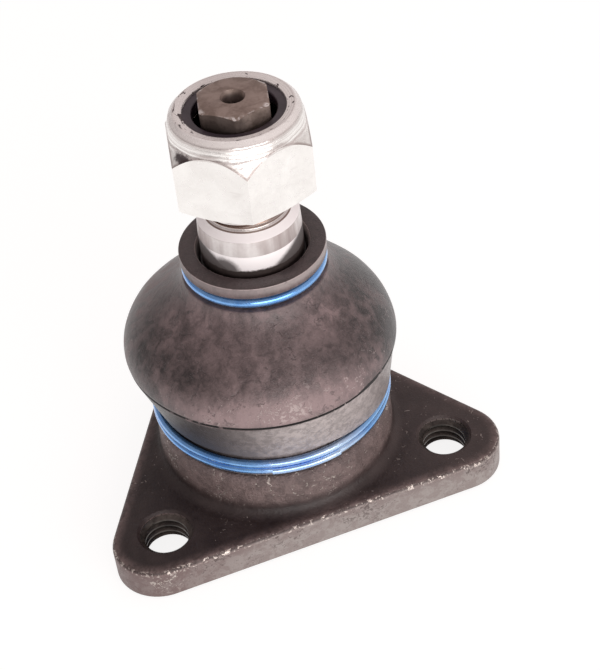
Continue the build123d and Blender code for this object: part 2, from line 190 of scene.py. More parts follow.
class Graph:
    """Lays nodes in one node tree, with short calls for the common ones."""

    def __init__(self, tree: bpy.types.NodeTree) -> None:
        """Wraps the tree that every call adds to."""
        self.tree = tree

    def add(self, kind: str, inputs: dict | None = None, **settings: object) -> bpy.types.Node:
        """Adds a node, sets it up and feeds its inputs.

        Args:
            kind: the node's type name.
            inputs: socket name or index to a plain value, or to the value that feeds it.
            **settings: properties of the node itself.

        Returns:
            The new node.
        """
        node = self.tree.nodes.new(kind)
        for name, setting in settings.items():
            setattr(node, name, setting)
        for key, value in (inputs or {}).items():
            self.feed(node.inputs[key], value)
        return node

    def feed(self, socket: bpy.types.NodeSocket, value: object) -> None:
        """Links a value into an input, or sets the input's own value.

        Args:
            socket: the input.
            value: what feeds it.
        """
        if isinstance(value, Value):
            self.tree.links.new(value.socket, socket)
        else:
            socket.default_value = value

    def value(
        self, kind: str, inputs: dict | None = None, output: int | str = 0, **settings: object
    ) -> Value:
        """Adds a node and gives one of its outputs."""
        return Value(self, self.add(kind, inputs, **settings).outputs[output])

    def math(self, operation: str, a: object, b: object = 0.0) -> Value:
        """Result of one arithmetic operation on two values."""
        return self.value("ShaderNodeMath", {0: a, 1: b}, operation=operation)

    def vector(
        self, operation: str, a: object, b: object = (0.0, 0.0, 0.0), output: str = "Vector"
    ) -> Value:
        """Result of one operation on two vectors."""
        return self.value("ShaderNodeVectorMath", {0: a, 1: b}, output, operation=operation)

    def mix(self, share: object, a: object, b: object, blend: str = "MIX") -> Value:
        """Blend of two colours.

        Args:
            share: share of the second colour.
            a: first colour.
            b: second colour.
            blend: how they are mixed.

        Returns:
            The mixed colour.
        """
        colours = {0: share, 6: self.opaque(a), 7: self.opaque(b)}
        return self.value("ShaderNodeMix", colours, 2, data_type="RGBA", blend_type=blend)

    @staticmethod
    def opaque(colour: object) -> object:
        """A colour triple with its alpha added; anything else is passed on."""
        return (*colour, 1.0) if isinstance(colour, tuple) and len(colour) == 3 else colour

    def noise(
        self,
        place: Value,
        scale: Value | float,
        detail: float = 4.0,
        rough: float = 0.5,
        warp: float = 0.0,
    ) -> Value:
        """Cloudy noise about one half.

        Args:
            place: place that is looked up.
            scale: features in one unit of length.
            detail: octaves.
            rough: share that each octave keeps.
            warp: distortion.

        Returns:
            The noise.
        """
        names = ("Vector", "Scale", "Detail", "Roughness", "Distortion")
        inputs = dict(zip(names, (place, scale, detail, rough, warp)))
        return self.value("ShaderNodeTexNoise", inputs)

    def split(self, vector: Value) -> list[Value]:
        """The three parts of a vector."""
        parts = self.add("ShaderNodeSeparateXYZ", {0: vector}).outputs
        return [Value(self, part) for part in parts]

    def join(self, x: object, y: object, z: object) -> Value:
        """A vector of three parts."""
        return self.value("ShaderNodeCombineXYZ", {0: x, 1: y, 2: z})

    def diagonal(self, a: Value, b: Value) -> Value:
        """Length across two sides at right angles."""
        return self.math("SQRT", a * a + b * b)


class Placed:
    """An effect that is placed in a graph."""

    def __init__(self, graph: Graph, node: bpy.types.Node) -> None:
        """Keeps the group's node."""
        self.graph = graph
        self.node = node

    @property
    def mask(self) -> Value:
        """Where the effect is, from zero to one."""
        return Value(self.graph, self.node.outputs["Mask"])

    @property
    def tone(self) -> Value:
        """How light the effect is, from zero to one."""
        return Value(self.graph, self.node.outputs["Tone"])

    @property
    def height(self) -> Value:
        """How high the effect stands, for bump."""
        return Value(self.graph, self.node.outputs["Height"])


class EffectLibrary:
    """Builds each shared effect's node group once and places it in materials."""

    VECTORS = ("Position", "Stretch")

    def __init__(self) -> None:
        """Starts with no group built."""
        self.groups: dict[Effect, bpy.types.NodeTree] = {}

    def place(self, graph: Graph, effect: Effect, **inputs: object) -> Placed:
        """Puts an effect in a material's graph.

        Args:
            graph: graph of the material.
            effect: which effect.
            **inputs: what feeds the group's named inputs.

        Returns:
            The placed effect.
        """
        if effect not in self.groups:
            self.groups[effect] = self._build(effect)
        return Placed(graph, graph.add("ShaderNodeGroup", inputs, node_tree=self.groups[effect]))

    def _build(self, effect: Effect) -> bpy.types.NodeTree:
        """Makes the node group of one effect.

        Args:
            effect: which effect.

        Returns:
            The group.
        """
        makers = {
            Effect.MOTTLE: (self._mottle, "Scale", "Contrast"),
            Effect.GRAIN: (self._grain, "Scale", "Pits"),
            Effect.SPECKS: (self._specks, "Scale", "Amount", "Cluster"),
            Effect.TURNING: (self._turning, "Spacing", "Wobble"),
            Effect.SMEARS: (self._smears, "Stretch", "Scale", "Amount"),
            Effect.BAND: (self._band, "From", "To", "Soft"),
            Effect.EDGE: (self._edge, "Lean", "Low", "High", "Scale", "Amount"),
        }
        maker, *names = makers[effect]
        names.insert(0, "Position")
        tree = bpy.data.node_groups.new(effect.value, "ShaderNodeTree")
        graph = Graph(tree)
        for name in names:
            kind = "NodeSocketVector" if name in self.VECTORS else "NodeSocketFloat"
            tree.interface.new_socket(name=name, in_out="INPUT", socket_type=kind)
        start = graph.add("NodeGroupInput")
        results = maker(graph, *(Value(graph, start.outputs[name]) for name in names))
        for name in results:
            tree.interface.new_socket(name=name, in_out="OUTPUT", socket_type="NodeSocketFloat")
        graph.add("NodeGroupOutput", results)
        return tree

    @staticmethod
    def _mottle(graph: Graph, place: Value, scale: Value, contrast: Value) -> dict[str, Value]:
        """Large soft clouds broken by smaller ones, and their height.

        Args:
            graph: the group's graph.
            place: place that is looked up, in metres.
            scale: large clouds in one metre.
            contrast: how far the tone spreads.

        Returns:
            The group's outputs by name.
        """
        finer, large_share, gain, middle = 5.3, 0.68, 3.2, 0.5
        large = graph.noise(place, scale, detail=3.0, rough=0.55, warp=0.6)
        small = graph.noise(place, scale * finer, detail=4.0, rough=0.6)
        both = large * large_share + small * (1.0 - large_share)
        tone = (both - middle) * (contrast * gain) + middle
        return {"Tone": tone.clamped(), "Height": small}

    @staticmethod
    def _grain(graph: Graph, place: Value, scale: Value, pits: Value) -> dict[str, Value]:
        """Tight grain with a few deeper pits.

        Args:
            graph: the group's graph.
            place: place that is looked up, in metres.
            scale: grains in one metre.
            pits: depth of the pits.

        Returns:
            The group's outputs by name.
        """
        coarser, pit_levels = 0.31, (0.62, 0.74)
        fine = graph.noise(place, scale, detail=5.0, rough=0.65)
        coarse = graph.noise(place, scale * coarser, detail=2.0)
        return {"Height": fine - coarse.ramp(*pit_levels) * pits}

    @staticmethod
    def _specks(
        graph: Graph, place: Value, scale: Value, amount: Value, cluster: Value
    ) -> dict[str, Value]:
        """Small irregular flecks, gathered where the clouds are thick.

        Args:
            graph: the group's graph.
            place: place that is looked up, in metres.
            scale: flecks in one metre.
            amount: how many there are.
            cluster: clouds in one metre.

        Returns:
            The group's outputs by name.
        """
        middle, gathering, amount_lift, levels = 0.5, 0.5, 0.2, (0.74, 0.79)
        ragged = graph.noise(place, scale, detail=2.0, rough=0.7, warp=1.2)
        cloud = graph.noise(place, cluster, detail=2.0)
        level = ragged + ((cloud - middle) * gathering + amount * amount_lift)
        return {"Mask": level.ramp(*levels)}

    @staticmethod
    def _turning(graph: Graph, place: Value, spacing: Value, wobble: Value) -> dict[str, Value]:
        """Rings that a lathe tool leaves on faces and barrels.

        Args:
            graph: the group's graph.
            place: place that is looked up, in metres.
            spacing: distance between rings, in metres.
            wobble: how far they drift, in spacings.

        Returns:
            The group's outputs by name.
        """
        drift_scale, line_scale = 300.0, 0.7
        x, y, z = graph.split(place)
        drift = graph.noise(place, drift_scale, detail=2.0) * (spacing * wobble)
        phase = (graph.diagonal(x, y) + z + drift) / spacing
        ring = graph.math("SINE", phase * FULL_TURN)
        inputs = {"W": phase, "Scale": line_scale, "Detail": 3.0}
        lines = graph.value("ShaderNodeTexNoise", inputs, noise_dimensions="1D")
        return {"Height": ring * 0.5 + 0.5, "Tone": lines}

    @staticmethod
    def _smears(
        graph: Graph, place: Value, stretch: Value, scale: Value, amount: Value
    ) -> dict[str, Value]:
        """Long soft marks stretched along one direction.

        Args:
            graph: the group's graph.
            place: place that is looked up, in metres.
            stretch: how much finer they are along each axis.
            scale: marks in one metre.
            amount: how many there are.

        Returns:
            The group's outputs by name.
        """
        coarser, gate_levels = 0.35, (0.42, 0.66)
        threshold, amount_lift, softness = 0.68, 0.2, 0.12
        pulled = graph.vector("MULTIPLY", place, stretch)
        streak = graph.noise(pulled, scale, rough=0.6, warp=0.4)
        gate = graph.noise(place, scale * coarser, detail=2.0).ramp(*gate_levels)
        level = threshold - amount * amount_lift
        return {"Mask": streak.ramp(level, level + softness) * gate, "Tone": streak}

    @staticmethod
    def _band(
        graph: Graph, place: Value, low: Value, high: Value, soft: Value
    ) -> dict[str, Value]:
        """One between two heights, with soft ends.

        Args:
            graph: the group's graph.
            place: place that is looked up.
            low: lower height.
            high: upper height.
            soft: half of each end's fade.

        Returns:
            The group's outputs by name.
        """
        height = graph.split(place)[2]
        above = height.ramp(low - soft, low + soft)
        return {"Mask": above * height.ramp(high - soft, high + soft, 1.0, 0.0)}

    @staticmethod
    def _edge(
        graph: Graph,
        place: Value,
        lean: Value,
        low: Value,
        high: Value,
        scale: Value,
        amount: Value,
    ) -> dict[str, Value]:
        """Wear on rounded edges: faces that lean between upright and flat.

        Args:
            graph: the group's graph.
            place: place that is looked up, in metres.
            lean: how far the face looks upward.
            low: lean at which wear begins.
            high: lean at which it ends.
            scale: worn spots in one metre.
            amount: how many there are.

        Returns:
            The group's outputs by name.
        """
        rise, fall, threshold, amount_lift, softness = 0.15, 0.12, 0.66, 0.3, 0.08
        rounded = lean.ramp(low, low + rise) * lean.ramp(high - fall, high, 1.0, 0.0)
        level = threshold - amount * amount_lift
        broken = graph.noise(place, scale, rough=0.65, warp=0.5)
        return {"Mask": rounded * broken.ramp(level, level + softness)}


# ---- Finishes ------------------------------------------------------------------


class Finish:
    """A material with its object coordinates, shader and output laid out.

    The effects read the position in metres; every other place, height and
    distance that this class gives is in millimetres.
    """

    def __init__(self, name: str, effects: EffectLibrary) -> None:
        """Makes the empty material.

        Args:
            name: the material's name.
            effects: library that shared effects come from.
        """
        self.material = bpy.data.materials.new(name)
        self.material.use_nodes = True
        self.effects = effects
        self.graph = Graph(self.material.node_tree)
        self.shader = self.material.node_tree.nodes["Principled BSDF"]
        coordinates = self.graph.add("ShaderNodeTexCoord")
        self.position = Value(self.graph, coordinates.outputs["Object"])
        self.lean = self.graph.split(Value(self.graph, coordinates.outputs["Normal"]))[2]
        self.place = self.graph.vector("MULTIPLY", self.position, (1.0 / MM,) * 3)
        self.across, self.along, self.height = self.graph.split(self.place)

    @cached_property
    def reach(self) -> Value:
        """Distance from the stud's axis."""
        return self.graph.diagonal(self.across, self.along)

    @cached_property
    def turn(self) -> Value:
        """Angle round the stud's axis, in radians."""
        return self.graph.math("ARCTAN2", self.along, self.across)

    def folded(self, sides: int, middle: float) -> Value:
        """Angle from the middle of the nearest flat of a regular outline.

        Args:
            sides: how many flats the outline has.
            middle: direction of one flat's middle, in degrees.

        Returns:
            The angle, in radians.
        """
        half = math.pi / sides
        return (self.turn + (half - math.radians(middle))) % (2.0 * half) - half

    def away(self, place: Triple, stretch: Triple = (1.0, 1.0, 1.0)) -> Value:
        """Distance from a place, with each direction stretched by its own factor.

        Args:
            place: the place, in millimetres.
            stretch: factor of each direction.

        Returns:
            The distance.
        """
        apart = self.graph.vector("SUBTRACT", self.place, place)
        pulled = self.graph.vector("MULTIPLY", apart, stretch)
        return self.graph.vector("LENGTH", pulled, output="Value")

    def effect(self, effect: Effect, **inputs: object) -> Placed:
        """Places a shared effect, which reads this material's position unless told."""
        return self.effects.place(self.graph, effect, **{"Position": self.position, **inputs})

    def mottle(self, scale: float, contrast: float) -> Placed:
        """Clouds of one scale, given in clouds to the metre."""
        return self.effect(Effect.MOTTLE, Scale=scale, Contrast=contrast)

    def grain(self, scale: float, pits: float) -> Value:
        """Height of a fine grain."""
        return self.effect(Effect.GRAIN, Scale=scale, Pits=pits).height

    def specks(
        self, scale: float, amount: float, cluster: float, place: Value | None = None
    ) -> Value:
        """Mask of scattered specks, gathered in clusters."""
        inputs = {"Scale": scale, "Amount": amount, "Cluster": cluster}
        return self.effect(Effect.SPECKS, Position=place or self.position, **inputs).mask

    def worn_edge(self, low: float, high: float, scale: float, amount: float) -> Value:
        """Mask of wear where faces lean between two levels."""
        inputs = {"Low": low, "High": high, "Scale": scale, "Amount": amount}
        return self.effect(Effect.EDGE, Lean=self.lean, **inputs).mask

    def band(self, low: object, high: object, soft: float, place: Value | None = None) -> Value:
        """Mask between two heights of a place, with soft ends."""
        heights = {"From": low, "To": high, "Soft": soft}
        return self.effect(Effect.BAND, Position=place or self.place, **heights).mask

    def set(self, **inputs: object) -> None:
        """Feeds the shader's inputs, with underscores standing for spaces."""
        for name, value in inputs.items():
            self.graph.feed(self.shader.inputs[name.replace("_", " ")], self.graph.opaque(value))

    def bump(self, depths: Sequence[float], *heights: Value) -> None:
        """Feeds the shader's normal from heights.

        Args:
            depths: how deep each height is, in millimetres.
            *heights: the heights, the lowest layer first.
        """
        below: dict[str, Value] = {}
        for height, depth in zip(heights, depths, strict=True):
            inputs = {"Height": height, "Strength": 1.0, "Distance": depth * MM, **below}
            below = {"Normal": self.graph.value("ShaderNodeBump", inputs)}
        self.set(**below)


class Surface:
    """Colours, levels and sizes that can be laid out as a material."""

    def make(self, name: str, effects: EffectLibrary) -> Material:
        """Builds the material.

        Args:
            name: the material's name.
            effects: library of shared effects.

        Returns:
            The material.
        """
        finish = Finish(name, effects)
        self.paint(finish)
        return finish.material

    def paint(self, finish: Finish) -> None:
        """Lays this surface's nodes.

        Args:
            finish: the material being made.
        """
        raise NotImplementedError


@dataclass(frozen=True)
class ForgedSteel(Surface):
    """Dark dipped coat on rough forged steel, rubbed thin on upright faces."""

    dark: Colour = (0.018, 0.0100, 0.0100)
    light: Colour = (0.062, 0.043, 0.041)
    # Brown of the rubbed coat; also laid as painted light along the outline and painted shade on
    # the side.
    worn: Colour = (0.190, 0.137, 0.131)
    bare: Colour = (0.35, 0.31, 0.295)
    chip: Colour = (0.52, 0.455, 0.42)
    pit: Colour = (0.085, 0.060, 0.056)
    flat_reach: float = 26.6
    flat_middle: float = -90.0
    corner_radius: float = 8.8
    rim_band: Ramp = (0.1, 6.9, 0.12)
    body_band: Ramp = (9.6, 17.0, 1.4)
    upright: Ramp = (0.25, 0.75, 1.0, 0.0)
    cloud_shine: float = 0.55
    # Painted sheen: the coat is painted lighter towards the right.
    painted_sheen_across: Ramp = (-10.0, 40.0, 0.0, 0.45)
    body_rub: Ramp = (0.1, 1.0, 0.55, 0.95)
    # Painted shade under the lower ring, on the housing's top just inside it.
    painted_ring_shade_reach: Ramp = (22.3, 23.0, 0.9, 0.0)
    painted_ring_shade_height: Ramp = (15.8, 16.3)
    # The flange's side is painted darker towards the left, as shade.
    painted_side_shade_across: Ramp = (-40.0, -8.0, 0.80, 0.10)
    kept_patches: Ramp = (0.2, 0.8, 0.34, 0.0)
    kept_height: Ramp = (3.0, 7.0, 0.0, 0.28)
    pitting: Ramp = (0.0, 7.0, 0.30, 0.75)
    # Painted light along the top face's outline, where a rounder edge would catch light.
    edge_light_inset: Ramp = (0.3, 2.6, 1.0, 0.0)
    edge_light_lean: Ramp = (0.5, 0.9)
    edge_light_patches: Ramp = (0.1, 0.9, 0.30, 0.80)
    front_edge: Ramp = (-26.0, -25.4, 1.0, 0.0)
    corner_edge: Ramp = (40.2, 41.0)
    face_lean: Ramp = (0.8, 0.95, 0.0, 0.55)
    glint_place: Triple = (-31.6, -26.0, 6.3)
    glint_reach: Ramp = (2.5, 6.5, 1.0, 0.0)
    side_metal: float = 0.70
    most_metal: float = 0.9
    roughness: Point = (0.42, 0.56)
    chip_polish: float = 0.14
    depths: Numbers = (0.12, 0.10, 0.30, 0.05, 0.06)

    def paint(self, finish: Finish) -> None:
        """Lays the coat, the bare side, the painted light along the outline and the chips.

        Args:
            finish: the material being made.
        """
        mottle = finish.mottle(scale=150.0, contrast=1.1)
        patches = finish.mottle(scale=420.0, contrast=1.3)
        grain = finish.grain(scale=1900.0, pits=0.5)
        rim, body = finish.band(*self.rim_band), finish.band(*self.body_band)
        side = abs(finish.lean).ramp(*self.upright) * rim
        # The clouds' tone, plus a painted sheen towards the right.
        tone_and_painted_sheen = mottle.tone * self.cloud_shine + finish.across.ramp(*self.painted_sheen_across)
        rubbed = body * patches.tone.ramp(*self.body_rub)
        # Painted shade under the lower ring.
        painted_ring_shade = finish.reach.ramp(*self.painted_ring_shade_reach) * finish.height.ramp(*self.painted_ring_shade_height)
        coat = finish.graph.mix(tone_and_painted_sheen, self.dark, self.light)
        coat = coat.over(rubbed, self.worn).over(painted_ring_shade, self.dark)
        # Painted light along the outline, in the rubbed coat's brown.
        painted_edge_light = self.inset(finish).ramp(*self.edge_light_inset) * finish.lean.ramp(*self.edge_light_lean)
        painted_edge_light = painted_edge_light * patches.tone.ramp(*self.edge_light_patches)
        base = coat.over(side, self.bare_side(finish, patches.tone)).over(painted_edge_light, self.worn)
        chips = self.chips(finish, rim, body)
        rough = mottle.height.ramp(*CLOUD_HEIGHTS, *self.roughness)
        finish.set(
            Base_Color=base.over(chips, self.chip),
            Metallic=(chips | side * self.side_metal) * self.most_metal,
            Roughness=rough - chips * self.chip_polish,
            Specular_IOR_Level=0.45,
        )
        heights = (mottle.height, patches.height, patches.height * body, grain, 1.0 - chips)
        finish.bump(self.depths, *heights)

    def bare_side(self, finish: Finish, patches: Value) -> Value:
        """Colour of the flange's side, where the coat is rubbed through and pitted, with painted
        shade towards the left.

        Args:
            finish: the material being made.
            patches: tone of the small clouds.

        Returns:
            The colour.
        """
        # Painted shade towards the left, with the coat kept in patches and near the top.
        kept_coat_and_shade = (finish.across.ramp(*self.painted_side_shade_across) + patches.ramp(*self.kept_patches)).clamped()
        kept_coat_and_shade = (kept_coat_and_shade + finish.height.ramp(*self.kept_height)).clamped()
        pits = finish.specks(scale=1250.0, amount=0.62, cluster=210.0)
        steel = finish.graph.mix(kept_coat_and_shade, self.bare, self.worn)
        return steel.over(pits * finish.height.ramp(*self.pitting), self.pit)

    def chips(self, finish: Finish, rim: Value, body: Value) -> Value:
        """Mask of the bright chips.

        Args:
            finish: the material being made.
            rim: mask of the flange's side.
            body: mask of the round body's side.

        Returns:
            The chips on the outer edge, the body and the upper face together.
        """
        edge = finish.worn_edge(low=0.05, high=0.95, scale=1150.0, amount=0.46)
        specks = finish.specks(scale=900.0, amount=0.56, cluster=140.0)
        flecks = finish.specks(scale=950.0, amount=0.16, cluster=80.0)
        glints = finish.specks(scale=1000.0, amount=0.85, cluster=260.0)
        outer = finish.along.ramp(*self.front_edge) | finish.reach.ramp(*self.corner_edge)
        outer = rim * outer
        near = finish.away(self.glint_place).ramp(*self.glint_reach)
        on_face = flecks * finish.lean.ramp(*self.face_lean)
        return specks * body | on_face | edge * outer | glints * outer * near

    def inset(self, finish: Finish) -> Value:
        """Distance in from the flange's outline, the same at its three sides.

        Args:
            finish: the material being made.

        Returns:
            The distance, in millimetres.
        """
        graph, folded = finish.graph, finish.folded(3, self.flat_middle)
        corner = self.flat_reach - self.corner_radius
        out = finish.reach * graph.math("COSINE", folded) - corner
        beside = finish.reach * abs(graph.math("SINE", folded))
        beside = beside - corner * math.tan(math.pi / 3.0)
        return self.corner_radius - graph.diagonal(out | 0.0, beside | 0.0)


@dataclass(frozen=True)
class MouldedRubber(Surface):
    """Chalky black rubber with darker handling marks and pale scuffs."""

    mould_line: float
    seam_lean: float
    dark: Colour = (0.024, 0.0175, 0.018)
    chalk: Colour = (0.260, 0.185, 0.186)
    # The skirt's pale colour is painted light from the floor; the barrel's painted reflection uses
    # it too.
    cuff: Colour = (0.375, 0.325, 0.318)
    stain: Colour = (0.020, 0.014, 0.015)
    scuff: Colour = (0.44, 0.36, 0.35)
    # Near black of the parting line and of its painted shadow gap.
    seam_and_shadow: Colour = (0.006, 0.005, 0.005)
    # These three are measured from the mould line.
    dome_band: Ramp = (0.0, 5.0, 2.6)
    skirt_band: Ramp = (-30.0, -0.2, 0.3)
    seam_band: Ramp = (-0.36, 0.10, 0.10)
    collar_band: Ramp = (49.2, 92.27, 0.5)
    # The parting line opens wider on the right: a painted shadow gap under the dome's edge.
    painted_shadow_gap: float = 0.75
    painted_shadow_start: Ramp = (6.5, 12.5)
    painted_shadow_end: Ramp = (19.5, 20.5, 1.0, 0.0)
    seam_breaks: Ramp = (0.34, 0.42, 0.25, 1.0)
    tone_shares: Triple = (0.13, 0.20, 0.20)
    drawn: Ramp = (0.32, 0.68)
    # Painted light low on the dome's front and towards its top; painted shade at its right and
    # left.
    painted_light_along: Ramp = (-25.0, -8.0, 0.84, 0.12)
    painted_light_across: Ramp = (0.0, 13.0, 1.0, 0.35)
    painted_light_height: Ramp = (38.0, 44.0, 0.0, 0.12)
    painted_shade_right: Ramp = (6.0, 20.0, 0.0, 0.30)
    painted_shade_left: Ramp = (-23.0, -12.0, 0.15, 0.0)
    handled: float = 0.5
    smear_share: float = 0.5
    blot_share: float = 0.75
    cuff_tone: Ramp = (0.0, 1.0, 0.60, 1.0)
    # Painted shade at the skirt's left and right.
    painted_cuff_shade_left: Ramp = (-20.0, -2.0)
    painted_cuff_shade_right: Ramp = (8.0, 20.0, 1.0, 0.60)
    top_lean: Ramp = (0.85, 0.97, 0.0, 0.55)
    barrel_height: Ramp = (52.6, 53.9)
    barrel_lean: Ramp = (0.2, 0.5, 1.0, 0.0)
    # Painted reflection on the collar's barrel, paler towards the right.
    painted_barrel_light_across: Ramp = (-10.0, 4.0, 0.30, 0.66)
    corner_height: Ramp = (53.5, 54.0, 0.0, 0.7)
    least_scuffed: float = 0.15
    scuff_share: float = 0.6
    flake_place: Triple = (-4.2, -25.2, 34.8)
    flake_stretch: Triple = (0.55, 0.55, 1.5)
    flake_reach: Ramp = (1.2, 3.4, 0.75, 0.0)
    roughness: Ramp = (0.1, 0.9, 0.34, 0.56)
    seam_roughness: float = 0.4
    depths: Numbers = (0.12, 0.07, 0.03, 0.06, 0.12)

    def paint(self, finish: Finish) -> None:
        """Lays the chalky tone, the cuff, the collar, the scuffs and the parting line.

        Args:
            finish: the material being made.
        """
        clouds = finish.mottle(scale=110.0, contrast=1.0)
        fine = finish.mottle(scale=760.0, contrast=1.6)
        blots = finish.specks(scale=520.0, amount=0.45, cluster=95.0)
        scuffs = finish.specks(scale=1300.0, amount=0.42, cluster=110.0)
        grain = finish.grain(scale=2300.0, pits=0.35)
        low_dome = self.from_line(finish, *self.dome_band)
        skirt = self.from_line(finish, *self.skirt_band)
        collar = finish.band(*self.collar_band)
        mixed = (1.0 - (skirt | collar)) * self.handled
        tone = self.tone(finish, clouds.tone, fine.tone, low_dome, mixed)
        base = finish.graph.mix(tone, self.dark, self.chalk)
        base = base.over(blots * (mixed * self.blot_share), self.stain)
        base = base.over(skirt, self.cuff_colour(finish, fine.tone))
        base = self.collar_wear_and_reflection(finish, base, collar)
        rubbed = (scuffs * (self.least_scuffed + low_dome)).clamped() * self.scuff_share
        flakes = finish.specks(scale=850.0, amount=1.0, cluster=200.0)
        near = finish.away(self.flake_place, self.flake_stretch).ramp(*self.flake_reach)
        base = base.over(rubbed, self.scuff).over(flakes * near, self.scuff)
        # Parting line, widened on one side into a painted shadow gap.
        cut = self.parting(finish) * clouds.height.ramp(*self.seam_breaks)
        finish.set(
            Base_Color=base.over(cut, self.seam_and_shadow),
            Roughness=tone.ramp(*self.roughness) + cut * self.seam_roughness,
            Specular_IOR_Level=0.5,
            Sheen_Weight=0.05,
            Sheen_Roughness=0.5,
        )
        dents = 1.0 - blots * mixed
        finish.bump(self.depths, clouds.height, fine.height, grain, scuffs, dents)

    def from_line(self, finish: Finish, low: float, high: float, soft: float) -> Value:
        """Band of heights measured from the mould line."""
        return finish.band(self.mould_line + low, self.mould_line + high, soft)

    def tone(
        self, finish: Finish, clouds: Value, fine: Value, low_dome: Value, mixed: Value
    ) -> Value:
        """How chalky the rubber is, with painted light and painted shade laid into the tone.

        Args:
            finish: the material being made.
            clouds: tone of the large clouds.
            fine: tone of the small clouds.
            low_dome: mask just above the mould line.
            mixed: share of handling marks.

        Returns:
            The tone, from dark to chalk.
        """
        marks = {"Stretch": (1.0, 1.0, 0.12), "Scale": 330.0, "Amount": 1.0}
        smears = finish.effect(Effect.SMEARS, **marks)
        large, small, streaked = self.tone_shares
        tone = clouds * large + fine * small + smears.tone.ramp(*self.drawn) * streaked
        # Painted light low on the dome's front and towards its top.
        painted_light = finish.along.ramp(*self.painted_light_along) * finish.across.ramp(*self.painted_light_across)
        tone = tone + low_dome * painted_light + finish.height.ramp(*self.painted_light_height)
        # Painted shade at the dome's right and left.
        for dull in (self.painted_shade_right, self.painted_shade_left):
            tone = tone - finish.across.ramp(*dull)
        return (tone + smears.mask * (mixed * self.smear_share)).clamped()

    def cuff_colour(self, finish: Finish, fine: Value) -> Value:
        """Colour of the skirt: painted light from the floor, paler towards the front, with painted
        shade at its sides.
        """
        sides = finish.across.ramp(*self.painted_cuff_shade_left) * finish.across.ramp(*self.painted_cuff_shade_right)
        return finish.graph.mix(fine.ramp(*self.cuff_tone) * sides, self.dark, self.cuff)

    def collar_wear_and_reflection(self, finish: Finish, base: Value, collar: Value) -> Value:
        """Darkens the collar's flat top, pales its barrel with a painted reflection, and pales its
        worn rounded edge.

        Args:
            finish: the material being made.
            base: colour so far.
            collar: mask of the collar.

        Returns:
            The colour with the wear over it.
        """
        barrel = finish.height.ramp(*self.barrel_height) * abs(finish.lean).ramp(*self.barrel_lean)
        corner = finish.worn_edge(low=0.15, high=0.95, scale=500.0, amount=0.95)
        base = base.over(collar * finish.lean.ramp(*self.top_lean), self.stain)
        # Painted reflection on the barrel, in the skirt's pale colour.
        base = base.over(barrel * finish.across.ramp(*self.painted_barrel_light_across), self.cuff)
        return base.over(corner * finish.height.ramp(*self.corner_height), self.scuff)

    def parting(self, finish: Finish) -> Value:
        """Mask of the parting line, which opens wider at one side as a painted shadow gap.

        Args:
            finish: the material being made.

        Returns:
            The mask.
        """
        level = finish.height + finish.across * self.seam_lean
        low, high, soft = self.seam_band
        painted_shadow = finish.across.ramp(*self.painted_shadow_start) * finish.across.ramp(*self.painted_shadow_end)
        top = (self.mould_line + high) + painted_shadow * self.painted_shadow_gap
        levelled = finish.graph.join(finish.across, finish.along, level)
        return finish.band(self.mould_line + low, top, soft, levelled)


@dataclass(frozen=True)
class CoatedWire(Surface):
    """Glossy blue coat on round spring wire."""

    deep: Colour = (0.045, 0.23, 0.66)
    bright: Colour = (0.24, 0.50, 0.86)
    # Pale of the rubbed specks, also laid as the painted reflection at the front.
    rubbed: Colour = (0.62, 0.72, 0.84)
    # Painted reflection: the coat is painted paler at the front.
    painted_reflection_along: Ramp = (-22.5, -19.5, 0.62, 0.0)
    painted_reflection_across: Ramp = (-14.0, -6.0)
    painted_reflection_tone: Ramp = (0.0, 0.8, 0.5, 1.0)
    speck_share: float = 0.6
    roughness: Point = (0.22, 0.30)
    depths: Numbers = (0.02, 0.01)

    def paint(self, finish: Finish) -> None:
        """Lays the blue coat, paler at the front as a painted reflection, with a few rubbed specks.

        Args:
            finish: the material being made.
        """
        mottle = finish.mottle(scale=110.0, contrast=0.8)
        specks = finish.specks(scale=1500.0, amount=0.1, cluster=150.0)
        # Painted reflection at the front.
        front = finish.along.ramp(*self.painted_reflection_along) * finish.across.ramp(*self.painted_reflection_across)
        base = finish.graph.mix(mottle.tone, self.deep, self.bright)
        base = base.over(front * mottle.tone.ramp(*self.painted_reflection_tone), self.rubbed)
        finish.set(
            Base_Color=base.over(specks * self.speck_share, self.rubbed),
            Metallic=0.80,
            Roughness=mottle.height.ramp(*CLOUD_HEIGHTS, *self.roughness),
            Specular_IOR_Level=0.8,
            Coat_Weight=1.0,
            Coat_Roughness=0.10,
        )
        finish.bump(self.depths, mottle.height, specks)


